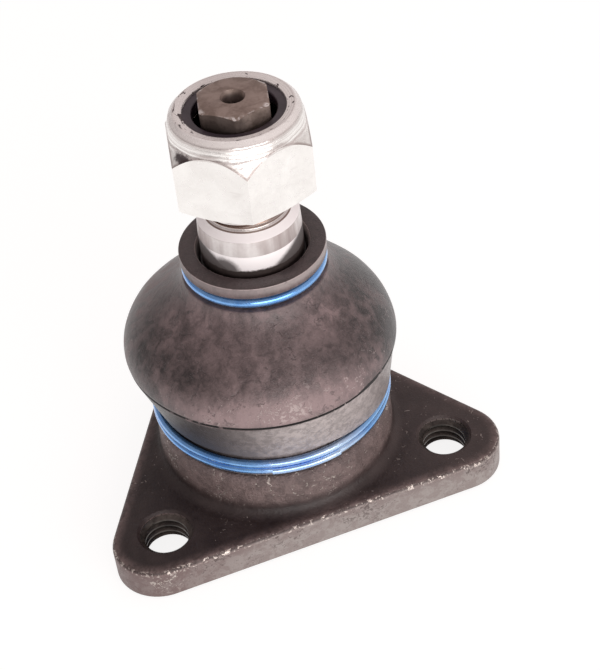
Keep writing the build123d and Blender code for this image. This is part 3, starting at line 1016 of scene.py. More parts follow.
@dataclass(frozen=True)
class ZincPlate(Surface):
    """Bright zinc on the nut, milky on the flats and nicked on the lip."""

    pale: Colour = (0.93, 0.91, 0.885)
    # Chalky white of the collar's upward faces, partly a painted highlight.
    chalky: Colour = (0.98, 0.955, 0.94)
    milky: Colour = (0.84, 0.815, 0.79)
    nick: Colour = (0.055, 0.035, 0.038)
    stain: Colour = (0.36, 0.29, 0.275)
    flat_radius: float = 12.0
    flat_middle: float = 47.0
    collar_band: Ramp = (80.4, 85.1, 0.3)
    lip_band: Ramp = (83.6, 85.1, 0.2)
    lip_unrolled: float = 0.0042
    lip_reach: Ramp = (10.3, 10.6, 1.0, 0.12)
    ring_spacing: float = 0.55
    smear_share: float = 0.14
    # Brown turning lines on the collar, which also stand in for painted reflection lines.
    turned_reflection_lines: Ramp = (0.48, 0.62, 0.0, 0.60)
    # Upward faces of the collar are painted chalky and less metallic: chalky zinc and a painted
    # highlight.
    chalk_highlight_lean: Ramp = (0.3, 0.85, 0.08, 0.80)
    chalk_highlight_share: float = 0.85
    arc_inside: Ramp = (0.10, 0.38, 0.75, 0.0)
    arc_lean: Ramp = (0.12, 0.3)
    arc_flat: Ramp = (0.9, 0.97, 1.0, 0.0)
    smudge_place: Triple = (-10.9, -4.9, 79.9)
    smudge_stretch: Triple = (1.0, 0.9, 2.2)
    smudge_ragged: float = 3.0
    smudge_reach: Ramp = (1.3, 2.6, 0.92, 0.0)
    smudge_lean: Ramp = (0.10, 0.2)
    most_metal: float = 0.95
    nick_metal: float = 0.6
    roughness: Point = (0.26, 0.40)
    collar_polish: float = 0.05
    depths: Numbers = (0.05, 0.03, 0.012, 0.06)

    def paint(self, finish: Finish) -> None:
        """Lays the plating, its turned collar with painted reflection lines, a painted highlight on
        the collar's upward faces, the nicked lip and one smudge.

        Args:
            finish: the material being made.
        """
        mottle = finish.mottle(scale=190.0, contrast=1.0)
        smears = finish.effect(Effect.SMEARS, Stretch=(0.5, 0.5, 2.2), Scale=260.0, Amount=0.6)
        turning = finish.effect(Effect.TURNING, Spacing=self.ring_spacing * MM, Wobble=0.9)
        grain = finish.grain(scale=2600.0, pits=0.3)
        collar = finish.band(*self.collar_band)
        unrolled = finish.graph.join(finish.turn * self.lip_unrolled, finish.reach * MM, 0.0)
        nicks = finish.specks(scale=620.0, amount=0.62, cluster=190.0, place=unrolled)
        hit = nicks * (finish.band(*self.lip_band) * finish.reach.ramp(*self.lip_reach))
        # Chalky zinc and a painted highlight on the collar's upward faces.
        facing = collar * finish.lean.ramp(*self.chalk_highlight_lean)
        base = finish.graph.mix(mottle.tone, self.milky, self.pale)
        base = base.over(smears.mask * self.smear_share, self.stain)
        # Turning lines, which also stand in for painted reflection lines.
        base = base.over(turning.tone.ramp(*self.turned_reflection_lines) * collar, self.stain)
        base = base.over(self.arc_line(finish), self.stain)
        base = base.over(facing * self.chalk_highlight_share, self.chalky)
        base = base.over(self.smudge(finish, mottle.height), self.nick)
        rough = mottle.height.ramp(*CLOUD_HEIGHTS, *self.roughness)
        finish.set(
            Base_Color=base.over(hit, self.nick),
            Metallic=self.most_metal - (facing | hit * self.nick_metal),
            Roughness=rough - collar * self.collar_polish,
        )
        finish.bump(self.depths, mottle.height, turning.height * collar, grain, 1.0 - hit)

    def smudge(self, finish: Finish, clouds: Value) -> Value:
        """Mask of a dark greasy mark in one corner of the crown.

        Args:
            finish: the material being made.
            clouds: height of the clouds, which makes its edge ragged.

        Returns:
            The mask.
        """
        away = finish.away(self.smudge_place, self.smudge_stretch)
        mark = (away + (clouds - 0.5) * self.smudge_ragged).ramp(*self.smudge_reach)
        return mark * finish.lean.ramp(*self.smudge_lean)

    def arc_line(self, finish: Finish) -> Value:
        """Mask of the dull line along the arcs where the crown meets the flats.

        Args:
            finish: the material being made.

        Returns:
            The mask.
        """
        folded = finish.folded(6, self.flat_middle)
        inside = self.flat_radius - finish.reach * finish.graph.math("COSINE", folded)
        crown = finish.lean.ramp(*self.arc_lean) * finish.lean.ramp(*self.arc_flat)
        return inside.ramp(*self.arc_inside) * crown


@dataclass(frozen=True)
class GroundStud(Surface):
    """Turned and ground steel: bright at the seat with a painted highlight, dull brown at the end.
    """

    bright: Colour = (0.88, 0.85, 0.84)
    dull: Colour = (0.38, 0.315, 0.305)
    end: Colour = (0.25, 0.190, 0.162)
    end_light: Colour = (0.39, 0.31, 0.275)
    # Dark of the end's dirt, also laid as painted shade and painted dark reflection.
    oil: Colour = (0.045, 0.034, 0.032)
    rust: Colour = (0.190, 0.115, 0.085)
    # Painted highlight: the seat and bevel bands are painted near white.
    painted_highlight_white: Colour = (0.94, 0.895, 0.90)
    # Where the seat, taper, bevel, thread and end begin, the stud's top, and how soft each is.
    heights: Numbers = (0.0, 58.5, 61.6, 62.7, 81.1, 101.1)
    softness: Numbers = (0.05, 0.05, 0.05, 0.03, 0.05)
    ring_spacing: float = 0.22
    dull_share: float = 0.30
    side_direction: Point = (0.93, -0.36)
    streak_tone: Ramp = (0.36, 0.64, 0.25, 1.0)
    # Painted shade on the taper's sides, away from a painted highlight line.
    painted_highlight_line: float = -1.5
    painted_taper_shade_reach: Ramp = (1.0, 5.5, 0.55, 1.0)
    groove_reach: Ramp = (7.2, 7.75, 0.92, 0.0)
    relief_top: float = 63.5
    relief_reach: Ramp = (0.10, 0.22, 0.9, 0.0)
    foot_height: Ramp = (62.86, 63.0, 0.85, 0.0)
    # Painted dark reflection and shade on the seat: at both sides, along its bottom and in one
    # patch.
    dark_reflection_middle: float = 0.5
    dark_reflection_slope: float = 1.35
    dark_reflection_ragged: float = 0.7
    dark_reflection_spread: Ramp = (6.9, 9.0, 0.0, 0.92)
    dark_reflection_height: Ramp = (55.2, 55.7, 1.0, 0.0)
    dark_reflection_place: Triple = (-7.4, -6.3, 54.9)
    dark_reflection_reach: Ramp = (2.1, 3.6, 0.88, 0.0)
    end_tone: Ramp = (0.1, 0.9)
    end_smears: float = 0.5
    # Painted shade on the drive end's front flats and in its centre hole.
    flat_shade_upright: Ramp = (0.3, 0.6, 1.0, 0.0)
    flat_shade_across: Ramp = (-1.5, 0.5, 0.62, 0.1)
    hole_shade_reach: Ramp = (1.6, 2.1, 0.75, 0.0)
    burr_reach: Ramp = (5.0, 5.6)
    roughness: Point = (0.20, 0.30)
    rougher: Triple = (0.18, 0.06, 0.28)
    less_metal: Triple = (0.25, 0.85, 0.45)
    end_unturned: float = 0.8
    depths: Numbers = (0.006, 0.010, 0.012)

    def paint(self, finish: Finish) -> None:
        """Lays the seat, taper, bevel, thread and end, from the bottom up.

        Args:
            finish: the material being made.
        """
        mottle = finish.mottle(scale=330.0, contrast=1.0)
        turning = finish.effect(Effect.TURNING, Spacing=self.ring_spacing * MM, Wobble=0.8)
        grain = finish.grain(scale=3000.0, pits=0.4)
        smears = finish.effect(Effect.SMEARS, Stretch=(0.35, 1.4, 1.0), Scale=420.0, Amount=0.6)
        spans = zip(self.heights, self.heights[1:], self.softness)
        seat, taper, bevel, thread, end = (finish.band(*span) for span in spans)
        # Painted highlight on the seat and bevel bands: near white, less metallic, without bump.
        painted_light = seat | bevel
        to_right, to_back = self.side_direction
        sideways = finish.across * to_right + finish.along * to_back
        base = finish.graph.mix(mottle.tone * self.dull_share, self.bright, self.dull)
        base = base.over(taper * self.streaks(finish, sideways), self.dull)
        base = base.over(thread * self.grooves(finish), self.rust).over(painted_light, self.painted_highlight_white)
        # Painted dark reflection and shade on the seat.
        base = base.over(seat * self.painted_dark_reflection(finish, sideways, mottle.height), self.oil)
        base = base.over(end, self.worn_end(finish, mottle.tone, smears.mask))
        rough = mottle.height.ramp(*CLOUD_HEIGHTS, *self.roughness)
        for mask, more in zip((taper | painted_light, thread, end), self.rougher):
            rough = rough + mask * more
        end_less, painted_light_less, taper_less = self.less_metal
        metal = 1.0 - end * end_less - painted_light * painted_light_less - taper * taper_less
        finish.set(Base_Color=base, Metallic=metal, Roughness=rough)
        outside_painted_light = 1.0 - painted_light
        rings = turning.height * (1.0 - (painted_light | end * self.end_unturned))
        finish.bump(self.depths, rings, grain * outside_painted_light, smears.tone * outside_painted_light)

    def streaks(self, finish: Finish, sideways: Value) -> Value:
        """Share of dull steel on the taper, in streaks painted thicker as shade away from a painted
        highlight line.

        Args:
            finish: the material being made.
            sideways: distance from the axis along side_direction, in millimetres.

        Returns:
            The share.
        """
        marks = {"Stretch": (1.0, 1.0, 0.12), "Scale": 170.0, "Amount": 1.0}
        drawn = finish.effect(Effect.SMEARS, **marks).tone.ramp(*self.streak_tone)
        return drawn * abs(sideways - self.painted_highlight_line).ramp(*self.painted_taper_shade_reach)

    def grooves(self, finish: Finish) -> Value:
        """Where rust sits: the thread's grooves, the relief's corner and its foot.

        Args:
            finish: the material being made.

        Returns:
            The rust's mask.
        """
        corner = abs(finish.height - self.relief_top).ramp(*self.relief_reach)
        foot = finish.height.ramp(*self.foot_height)
        return finish.reach.ramp(*self.groove_reach) | corner | foot

    def painted_dark_reflection(self, finish: Finish, sideways: Value, clouds: Value) -> Value:
        """Where painted dark reflection and shade darken the seat.

        Args:
            finish: the material being made.
            sideways: distance from the axis along side_direction, in millimetres.
            clouds: height of the clouds, which makes the edge ragged.

        Returns:
            The oil's mask: both sides, the bottom and one patch.
        """
        ragged = (clouds - 0.5) * self.dark_reflection_ragged
        sunk = (self.heights[1] - finish.height) * self.dark_reflection_slope
        side = (abs(sideways - self.dark_reflection_middle) + sunk + ragged).ramp(*self.dark_reflection_spread)
        shaded_bottom = (finish.height + ragged).ramp(*self.dark_reflection_height)
        patch = (finish.away(self.dark_reflection_place) + ragged).ramp(*self.dark_reflection_reach)
        return shaded_bottom | side | patch

    def worn_end(self, finish: Finish, clouds: Value, smears: Value) -> Value:
        """Colour of the brown drive end, with dirt, burrs, painted shade on its front flats and its
        centre hole painted dark as shade.

        Args:
            finish: the material being made.
            clouds: tone of the clouds.
            smears: mask of the smears.

        Returns:
            The colour.
        """
        burr = finish.worn_edge(low=0.20, high=0.97, scale=700.0, amount=0.6)
        shaded_flats = abs(finish.lean).ramp(*self.flat_shade_upright) * finish.across.ramp(*self.flat_shade_across)
        colour = finish.graph.mix(clouds.ramp(*self.end_tone), self.end, self.end_light)
        colour = colour.over(smears * self.end_smears, self.oil)
        # Painted shade on the front flats and in the centre hole.
        colour = colour.over(shaded_flats | finish.reach.ramp(*self.hole_shade_reach), self.oil)
        return colour.over(burr * finish.reach.ramp(*self.burr_reach), self.bright)


@dataclass(frozen=True)
class Clouded(Surface):
    """Plain surface of two tones with a fine grain: plastics and oily cut steel."""

    dark: Colour
    light: Colour
    roughness: Point
    clouds: Point = (380.0, 0.8)
    grain: Point = (3000.0, 0.2)
    metal: float = 0.0
    depths: Numbers = (0.015,)

    def paint(self, finish: Finish) -> None:
        """Lays the faintly clouded surface and its grain.

        Args:
            finish: the material being made.
        """
        mottle = finish.mottle(*self.clouds)
        finish.set(
            Base_Color=finish.graph.mix(mottle.tone, self.dark, self.light),
            Metallic=self.metal,
            Roughness=mottle.height.ramp(*CLOUD_HEIGHTS, *self.roughness),
        )
        finish.bump(self.depths, finish.grain(*self.grain))


@dataclass(frozen=True)
class PressedSteel(Surface):
    """Rolled or pressed sheet: fine rings, light oil stain."""

    steel: Colour = (0.34, 0.32, 0.31)
    stain: Colour = (0.16, 0.13, 0.115)
    ring: Colour = (0.5, 0.48, 0.46)
    ring_spacing: float = 0.35
    ring_share: float = 0.25
    roughness: Point = (0.30, 0.46)
    depths: Numbers = (0.008, 0.012)

    def paint(self, finish: Finish) -> None:
        """Lays the stained steel and its rings.

        Args:
            finish: the material being made.
        """
        mottle = finish.mottle(scale=150.0, contrast=1.2)
        turning = finish.effect(Effect.TURNING, Spacing=self.ring_spacing * MM, Wobble=1.5)
        grain = finish.grain(scale=2800.0, pits=0.3)
        base = finish.graph.mix(mottle.tone, self.steel, self.stain)
        finish.set(
            Base_Color=base.over(turning.tone * self.ring_share, self.ring),
            Metallic=0.9,
            Roughness=mottle.height.ramp(*CLOUD_HEIGHTS, *self.roughness),
        )
        finish.bump(self.depths, turning.height, grain)


@dataclass(frozen=True)
class StudioPaper(Surface):
    """Plain pale light table that the joint stands on."""

    tone: Colour = (0.25, 0.249, 0.248)
    glow: Colour = (1.0, 0.995, 0.99)
    glow_strength: float = 0.86
    depths: Numbers = (0.01,)

    def paint(self, finish: Finish) -> None:
        """Lays the paper's colour, glow and grain.

        Args:
            finish: the material being made.
        """
        grain = finish.grain(scale=900.0, pits=0.0)
        finish.set(Base_Color=self.tone, Roughness=0.9, Specular_IOR_Level=0.2)
        finish.set(Emission_Color=self.glow, Emission_Strength=self.glow_strength)
        finish.bump(self.depths, grain)


# ---- Shapes --------------------------------------------------------------------


class Shaper:
    """Mesh moves that the sub-assemblies share, all through bmesh operators."""

    MERGE = 1e-7
    SEAM_MERGE = 2e-6
    LEVEL = 1e-6

    @staticmethod
    def spin(points: Sequence[Point], segments: int, rise: float, closed: bool) -> Mesh:
        """Turns a half-profile once round the axis.

        Args:
            points: radius and height of each corner, in millimetres.
            segments: faces in one turn.
            rise: rise in one turn, in millimetres.
            closed: whether the last corner joins the first and the turn its start.

        Returns:
            The turned mesh.
        """
        mesh = bmesh.new()
        corners = [mesh.verts.new((radius * MM, 0.0, height * MM)) for radius, height in points]
        pairs = list(zip(corners, corners[1:]))
        if closed:
            pairs.append((corners[-1], corners[0]))
        bmesh.ops.spin(
            mesh,
            geom=corners + [mesh.edges.new(pair) for pair in pairs],
            cent=(0, 0, 0),
            axis=(0, 0, 1),
            dvec=(0, 0, rise * MM / segments),
            angle=FULL_TURN,
            steps=segments,
            use_merge=closed,
        )
        merge = Shaper.MERGE if closed else Shaper.SEAM_MERGE
        bmesh.ops.remove_doubles(mesh, verts=mesh.verts[:], dist=merge)
        return mesh

    @staticmethod
    def cut(mesh: Mesh, height: float, keep_above: bool) -> Edges:
        """Cuts a mesh level and drops one side.

        Args:
            mesh: mesh to cut.
            height: height of the cut, in millimetres.
            keep_above: whether the upper side stays.

        Returns:
            The edges that the cut left open.
        """
        level = height * MM
        bmesh.ops.bisect_plane(
            mesh,
            geom=mesh.verts[:] + mesh.edges[:] + mesh.faces[:],
            dist=Shaper.MERGE,
            plane_co=(0, 0, level),
            plane_no=(0, 0, 1),
            clear_inner=keep_above,
            clear_outer=not keep_above,
        )
        return [
            edge
            for edge in mesh.edges
            if edge.is_boundary and all(abs(v.co.z - level) < Shaper.LEVEL for v in edge.verts)
        ]

    @staticmethod
    def flare(mesh: Mesh, rim: Edges, radius: float) -> Edges:
        """Draws an open rim in or out to a circle, level with itself.

        Args:
            mesh: mesh that owns the rim.
            rim: edges of the open rim.
            radius: radius of the new rim, in millimetres.

        Returns:
            The new rim's edges.
        """
        made = bmesh.ops.extrude_edge_only(mesh, edges=rim)["geom"]
        for vertex in (item for item in made if isinstance(item, bmesh.types.BMVert)):
            flat = Vector((vertex.co.x, vertex.co.y, 0.0)).normalized() * radius * MM
            vertex.co.x, vertex.co.y = flat.x, flat.y
        return [item for item in made if isinstance(item, bmesh.types.BMEdge) and item.is_boundary]

    @staticmethod
    def outward(mesh: Mesh) -> Mesh:
        """Turns every face of a closed mesh outward and gives the mesh back."""
        bmesh.ops.recalc_face_normals(mesh, faces=mesh.faces[:])
        return mesh

    @staticmethod
    def object(mesh: Mesh, name: str, material: Material, smooth: float = 35.0) -> Piece:
        """Turns a finished bmesh into a shown object at the origin.

        Args:
            mesh: the mesh, which is freed.
            name: name of the piece.
            material: its finish.
            smooth: edges sharper than this many degrees stay crisp.

        Returns:
            The object.
        """
        data = bpy.data.meshes.new(name)
        mesh.to_mesh(data)
        mesh.free()
        stale = data.attributes.get("custom_normal")
        if stale:
            data.attributes.remove(stale)
        data.materials.append(material)
        data.shade_smooth()
        data.set_sharp_from_angle(angle=math.radians(smooth))
        piece = bpy.data.objects.new(name, data)
        bpy.context.collection.objects.link(piece)
        log.info("built %s", name)
        return piece


@dataclass(frozen=True)
class Thread:
    """Sizes of a sixty-degree screw thread."""

    outer_radius: float
    segments: int
    pitch: float = 1.5
    depth_share: float = 0.5413

    def teeth(self, low: float, high: float, outside: bool) -> list[Point]:
        """Row of teeth from two pitches under one height to two over another.

        Args:
            low: lower height, in millimetres.
            high: upper height, in millimetres.
            outside: whether the teeth stand on a rod and not in a hole.

        Returns:
            Radius and height of each corner.
        """
        crest, root = self.outer_radius, self.outer_radius - self.depth_share * self.pitch
        narrow, wide = self.pitch / 8.0, self.pitch / 4.0
        flank = (self.pitch - narrow - wide) / 2.0
        flat = narrow if outside else wide
        if not outside:
            crest, root = root, crest
        height = low - 2.0 * self.pitch
        corners: list[Point] = []
        while height < high + 2.0 * self.pitch:
            corners += [(crest, height), (crest, height + flat)]
            corners += [(root, height + flat + flank), (root, height + self.pitch - flank)]
            height += self.pitch
        return corners

    def ring(
        self, low: float, high: float, wall: float, chamfer: Callable[[float], float], outside: bool
    ) -> Mesh:
        """Closed ring of thread between two heights.

        Args:
            low: lower height, in millimetres.
            high: upper height, in millimetres.
            wall: radius of the ring's plain side.
            chamfer: radius that the chamfers leave at a height, both in millimetres.
            outside: whether the teeth stand on a rod and not in a hole.

        Returns:
            The mesh.
        """
        teeth = self.teeth(low, high, outside)
        mesh = Shaper.spin(teeth, self.segments, rise=self.pitch, closed=False)
        Shaper.cut(mesh, low, keep_above=True)
        Shaper.cut(mesh, high, keep_above=False)
        for vertex in mesh.verts:
            limit = chamfer(vertex.co.z / MM) * MM
            reach = math.hypot(vertex.co.x, vertex.co.y)
            if (reach > limit) == outside:
                vertex.co.x *= limit / reach
                vertex.co.y *= limit / reach
        rims = [
            Shaper.cut(mesh, low, keep_above=True),
            Shaper.cut(mesh, high, keep_above=False),
        ]
        ends = [Shaper.flare(mesh, rim, wall) for rim in rims]
        bmesh.ops.bridge_loops(mesh, edges=ends[0] + ends[1])
        return Shaper.outward(mesh)


# ---- Sub-assemblies --------------------------------------------------------------


class SubAssembly:
    """What every sub-assembly has: the frame's nodes and the effects."""

    def __init__(self, frame: dict, effects: EffectLibrary) -> None:
        """Keeps what the build methods need.

        Args:
            effects: library of shared effects.
        """
        self.nodes = frame["nodes"]
        self.effects = effects

    def dress(self, surface: Surface, name: str, *nodes: str) -> None:
        """Gives carried-over solids one finish.

        Args:
            surface: the finish.
            name: the material's name.
            *nodes: names of the solids.
        """
        material = surface.make(name, self.effects)
        for node in nodes:
            mesh = self.nodes[node].data
            mesh.materials.clear()
            mesh.materials.append(material)
            log.info("dressed %s with %s", node, name)


@dataclass(frozen=True)
class HousingSizes:
    """Sizes of the flange and its tapped holes."""

    flange_thickness: float = 7.0
    bolt_circle_radius: float = 33.5
    bolt_count: int = 3
    first_bolt_angle: float = 90.0
    thread: Thread = Thread(outer_radius=5.0, segments=72)
    mouth_chamfer: float = 0.45
    wall_overlap: float = 0.04
    crisp_angle: float = 50.0


class Housing(SubAssembly):
    """Forged housing with its threads, cap, springs and seats."""

    sizes = HousingSizes()

    def build(self) -> None:
        """Dresses the solids and cuts the thread in each flange hole."""
        self.dress(ForgedSteel(), "forged dark steel", "housing")
        self.dress(PressedSteel(), "pressed cap steel", "closing_cap")
        plastic = Clouded(
            dark=(0.60, 0.57, 0.50), light=(0.72, 0.69, 0.62), roughness=(0.39, 0.51)
        )
        self.dress(plastic, "bearing plastic", "lower_seat", "upper_seat")
        spring = PressedSteel(
            steel=(0.24, 0.23, 0.25), stain=(0.12, 0.11, 0.13), ring_spacing=0.2
        )
        self.dress(spring, "spring steel", "disc_spring_1", "disc_spring_2")
        cut_steel = Clouded(
            dark=(0.030, 0.024, 0.022),
            light=(0.115, 0.097, 0.086),
            roughness=(0.3, 0.45),
            clouds=(420.0, 1.0),
            grain=(3200.0, 0.2),
            metal=0.6,
            depths=(0.02,),
        )
        thread = cut_steel.make("tapped thread", self.effects)
        for index in range(self.sizes.bolt_count):
            self.tapped_thread(index, thread)

    def tapped_thread(self, index: int, material: Material) -> None:
        """Builds the thread in one flange hole, run out into the chamfers.

        Args:
            index: which hole.
            material: finish of the thread.
        """
        sizes = self.sizes
        chamfer, top = sizes.mouth_chamfer, sizes.flange_thickness
        radius = sizes.thread.outer_radius
        mesh = sizes.thread.ring(
            chamfer,
            top - chamfer,
            wall=radius + sizes.wall_overlap,
            chamfer=lambda height: radius + chamfer - min(height, top - height),
            outside=False,
        )
        angle = math.radians(sizes.first_bolt_angle + 360.0 * index / sizes.bolt_count)
        place = Vector((math.cos(angle), math.sin(angle), 0.0)) * sizes.bolt_circle_radius * MM
        bmesh.ops.translate(mesh, verts=mesh.verts[:], vec=place)
        piece = Shaper.object(mesh, f"flange_thread_{index + 1}", material, sizes.crisp_angle)
        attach(piece, Body.HOUSING.value)


@dataclass(frozen=True)
class BootSizes:
    """Sizes of the rubber boot, as the solids have them."""

    wall: float = 1.9
    seat_radius: float = 20.1
    lip_radius: float = 22.55
    lip_bottom: float = 16.9
    groove_bottom: float = 17.55
    groove_radius: float = 21.75
    groove_top: float = 21.43
    mould_radius: float = 26.0
    mould_height: float = 32.27
    mould_notch: float = 0.30
    mould_step: float = 0.06
    bulge_top: float = 40.37
    dome_end: float = 43.82
    dome_flare: float = 1.2
    shoulder_share: float = 0.7
    bulge_share: float = 0.5
    collar_radius: float = 13.5
    neck_height: float = 49.22
    upper_groove_radius: float = 11.25
    upper_groove_bottom: float = 49.52
    upper_groove_top: float = 52.02
    top: float = 54.6
    mouth_radius: float = 10.2
    mouth_flare: float = 1.0
    mouth_ease: float = 0.25
    bore_radius: float = 10.05
    bush_top: float = 52.77
    bush_bottom: float = 48.77
    neck_bore: float = 8.8
    inner_lip_height: float = 1.0
    housing_neck_radius: float = 20.9
    housing_groove_top: float = 21.73
    clearance: float = 0.3
    segments: int = 180
    dome_steps: int = 40
    edge_angle: float = 38.0
    edge_radius: float = 0.22
    crisp_angle: float = 40.0
    sag: float = 0.8
    sag_direction: Triple = (-0.93, 0.36, 0.0)
    waviness: float = 0.16
    wave_scale: float = 62.0
    ripple_scale: float = 170.0
    ripple_share: float = 0.3
    wave_sink: float = 0.4
    seam_lean: float = 0.017
    seam_swell: float = 0.86
    droop: float = 1.2
    droop_reach: float = 0.9
    droop_turn: float = -28.0
    droop_spread: float = 75.0
    droop_curve: int = 3
    skirt_below: float = 0.05
    skirt_above: float = 0.1
    tuck: float = 0.50
    tuck_turn: float = 5.0
    tuck_spread: float = 110.0
    tuck_rise: float = 1.15


class Boot(SubAssembly):
    """Rubber boot and the two blue wire rings that hold it."""

    sizes = BootSizes()

    def build(self) -> None:
        """Moulds the boot and dresses its rings and bush."""
        rubber = MouldedRubber(self.sizes.mould_height, self.sizes.seam_lean)
        self.moulded_boot(rubber.make("moulded rubber", self.effects))
        self.dress(CoatedWire(), "blue coated wire", "lower_clamp_ring", "upper_clamp_ring")
        bush = Clouded(
            dark=(0.020, 0.018, 0.018), light=(0.040, 0.034, 0.034), roughness=(0.36, 0.48)
        )
        self.dress(bush, "bush plastic", "boot_bush")

    def half_profile(self) -> list[Point]:
        """Closed outline of the boot's wall, outside first.

        Returns:
            Radius and height of each corner.
        """
        s = self.sizes
        step = s.mould_radius - s.mould_step
        flare = s.collar_radius + s.dome_flare
        under_groove = s.housing_groove_top - s.clearance
        outer_dome = self.dome(
            (s.mould_radius, s.mould_height + s.mould_notch),
            (s.mould_radius, s.bulge_top),
            (flare, s.dome_end),
            (s.collar_radius, s.neck_height),
        )
        inner_dome = self.dome(
            (s.collar_radius - s.wall, s.bush_bottom - s.wall),
            (flare - s.wall, s.dome_end - s.wall * s.shoulder_share),
            (s.mould_radius - s.wall, s.bulge_top - s.wall * s.bulge_share),
            (s.mould_radius - s.wall, s.mould_height),
        )
        return [
            (s.seat_radius, s.lip_bottom),
            (s.lip_radius, s.lip_bottom),
            (s.lip_radius, s.groove_bottom),
            (s.groove_radius, s.groove_bottom),
            (s.groove_radius, s.groove_top),
            (s.lip_radius, s.groove_top + s.clearance),
            (step, s.mould_height - s.mould_notch),
            (step - s.mould_notch, s.mould_height),
            *outer_dome,
            (s.upper_groove_radius, s.upper_groove_bottom),
            (s.upper_groove_radius, s.upper_groove_top),
            (s.collar_radius, s.upper_groove_top + s.clearance),
            (s.collar_radius, s.top),
            (s.mouth_radius + s.mouth_ease, s.top),
            (s.mouth_radius, s.top - s.mouth_flare),
            (s.bore_radius, s.bush_top),
            (s.bore_radius, s.bush_bottom),
            (s.neck_bore, s.bush_bottom),
            (s.neck_bore, s.bush_bottom - s.inner_lip_height),
            *inner_dome,
            (s.housing_neck_radius, s.housing_groove_top + s.wall),
            (s.housing_neck_radius, under_groove),
            (s.seat_radius, under_groove),
        ]

    def dome(self, *corners: Point) -> list[Point]:
        """Points along one curved run of the profile.

        Args:
            *corners: start, the two handles that it leaves and arrives by, and end.

        Returns:
            Radius and height of each point.
        """
        handles = [Vector((*corner, 0.0)) for corner in corners]
        return [(p.x, p.y) for p in geometry.interpolate_bezier(*handles, self.sizes.dome_steps)]

    def moulded_boot(self, material: Material) -> None:
        """Builds the boot: turned wall, eased edges, soft sag and faint waviness.

        Args:
            material: finish of the rubber.
        """
        s = self.sizes
        turned = Shaper.spin(self.half_profile(), s.segments, rise=0.0, closed=True)
        mesh = Shaper.outward(turned)
        sharp = math.radians(s.edge_angle)
        bmesh.ops.bevel(
            mesh,
            geom=[e for e in mesh.edges if e.is_manifold and e.calc_face_angle(0.0) > sharp],
            offset=s.edge_radius * MM,
            offset_type="OFFSET",
            segments=2,
            profile=0.5,
            affect="EDGES",
            clamp_overlap=True,
            material=-1,
        )
        mesh.normal_update()
        for vertex in mesh.verts:
            self.hang(vertex)
            self.sway(vertex)
        piece = Shaper.object(mesh, "dust_boot_moulded", material, s.crisp_angle)
        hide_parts("dust_boot")
        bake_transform(piece)

    def hang(self, vertex: bmesh.types.BMVert) -> None:
        """Lets the skirt hang over its ring on one side, tucked in under the dome.

        Args:
            vertex: one of the boot's vertices, moved where it stands in the skirt.
        """
        s = self.sizes
        radius, height = math.hypot(vertex.co.x, vertex.co.y) / MM, vertex.co.z / MM
        low, high = s.groove_top - s.skirt_below, s.mould_height + s.skirt_above
        if radius < s.groove_radius + s.clearance or not low < height < high:
            return
        turn = math.degrees(math.atan2(vertex.co.y, vertex.co.x))
        flat = Vector((vertex.co.x, vertex.co.y, 0.0)).normalized() * MM
        fall = (s.mould_height - height) / (s.mould_height - s.groove_top)
        hang = self.bell(turn - s.droop_turn, s.droop_spread) * fall**s.droop_curve
        tuck = math.sin(math.pi * min(1.0, s.tuck_rise * (1.0 - fall)) / 2.0)
        tuck *= self.bell(turn - s.tuck_turn, s.tuck_spread)
        vertex.co += flat * (s.droop_reach * hang - s.tuck * tuck)
        vertex.co.z -= s.droop * hang * MM

    def sway(self, vertex: bmesh.types.BMVert) -> None:
        """Leans the dome to one side and makes it faintly wavy, most at its middle.

        Args:
            vertex: one of the boot's vertices, moved where it stands in the dome.
        """
        s = self.sizes
        span = vertex.co.z / MM - s.housing_groove_top
        span /= s.upper_groove_bottom - s.housing_groove_top
        if not 0.0 < span < 1.0:
            return
        drift = Vector(s.sag_direction).normalized() * s.sag * MM
        swell = math.sin(math.pi * span) ** 2
        ripple = noise.noise(vertex.co * s.ripple_scale) * s.ripple_share
        wave = noise.noise(vertex.co * s.wave_scale) + ripple - s.wave_sink
        vertex.co += drift * swell + vertex.normal * wave * s.waviness * swell * MM
        vertex.co.z -= vertex.co.x * s.seam_lean * swell / s.seam_swell

    @staticmethod
    def bell(angle: float, spread: float) -> float:
        """One at the middle of a spread of angle, falling softly to zero at its ends."""
        angle = (angle + 180.0) % 360.0 - 180.0
        return math.cos(math.radians(90.0 * angle / spread)) ** 2 if abs(angle) < spread else 0.0


@dataclass(frozen=True)
class StudSizes:
    """Heights at which the stud's plain parts meet its thread."""

    thread: Thread = Thread(outer_radius=8.0, segments=120)
    undercut_end: float = 63.6
    thread_end: float = 81.1
    end_chamfer: float = 0.8
    start_chamfer: float = 0.5
    core_radius: float = 3.0
    plain_crisp_angle: float = 30.0
    thread_crisp_angle: float = 50.0


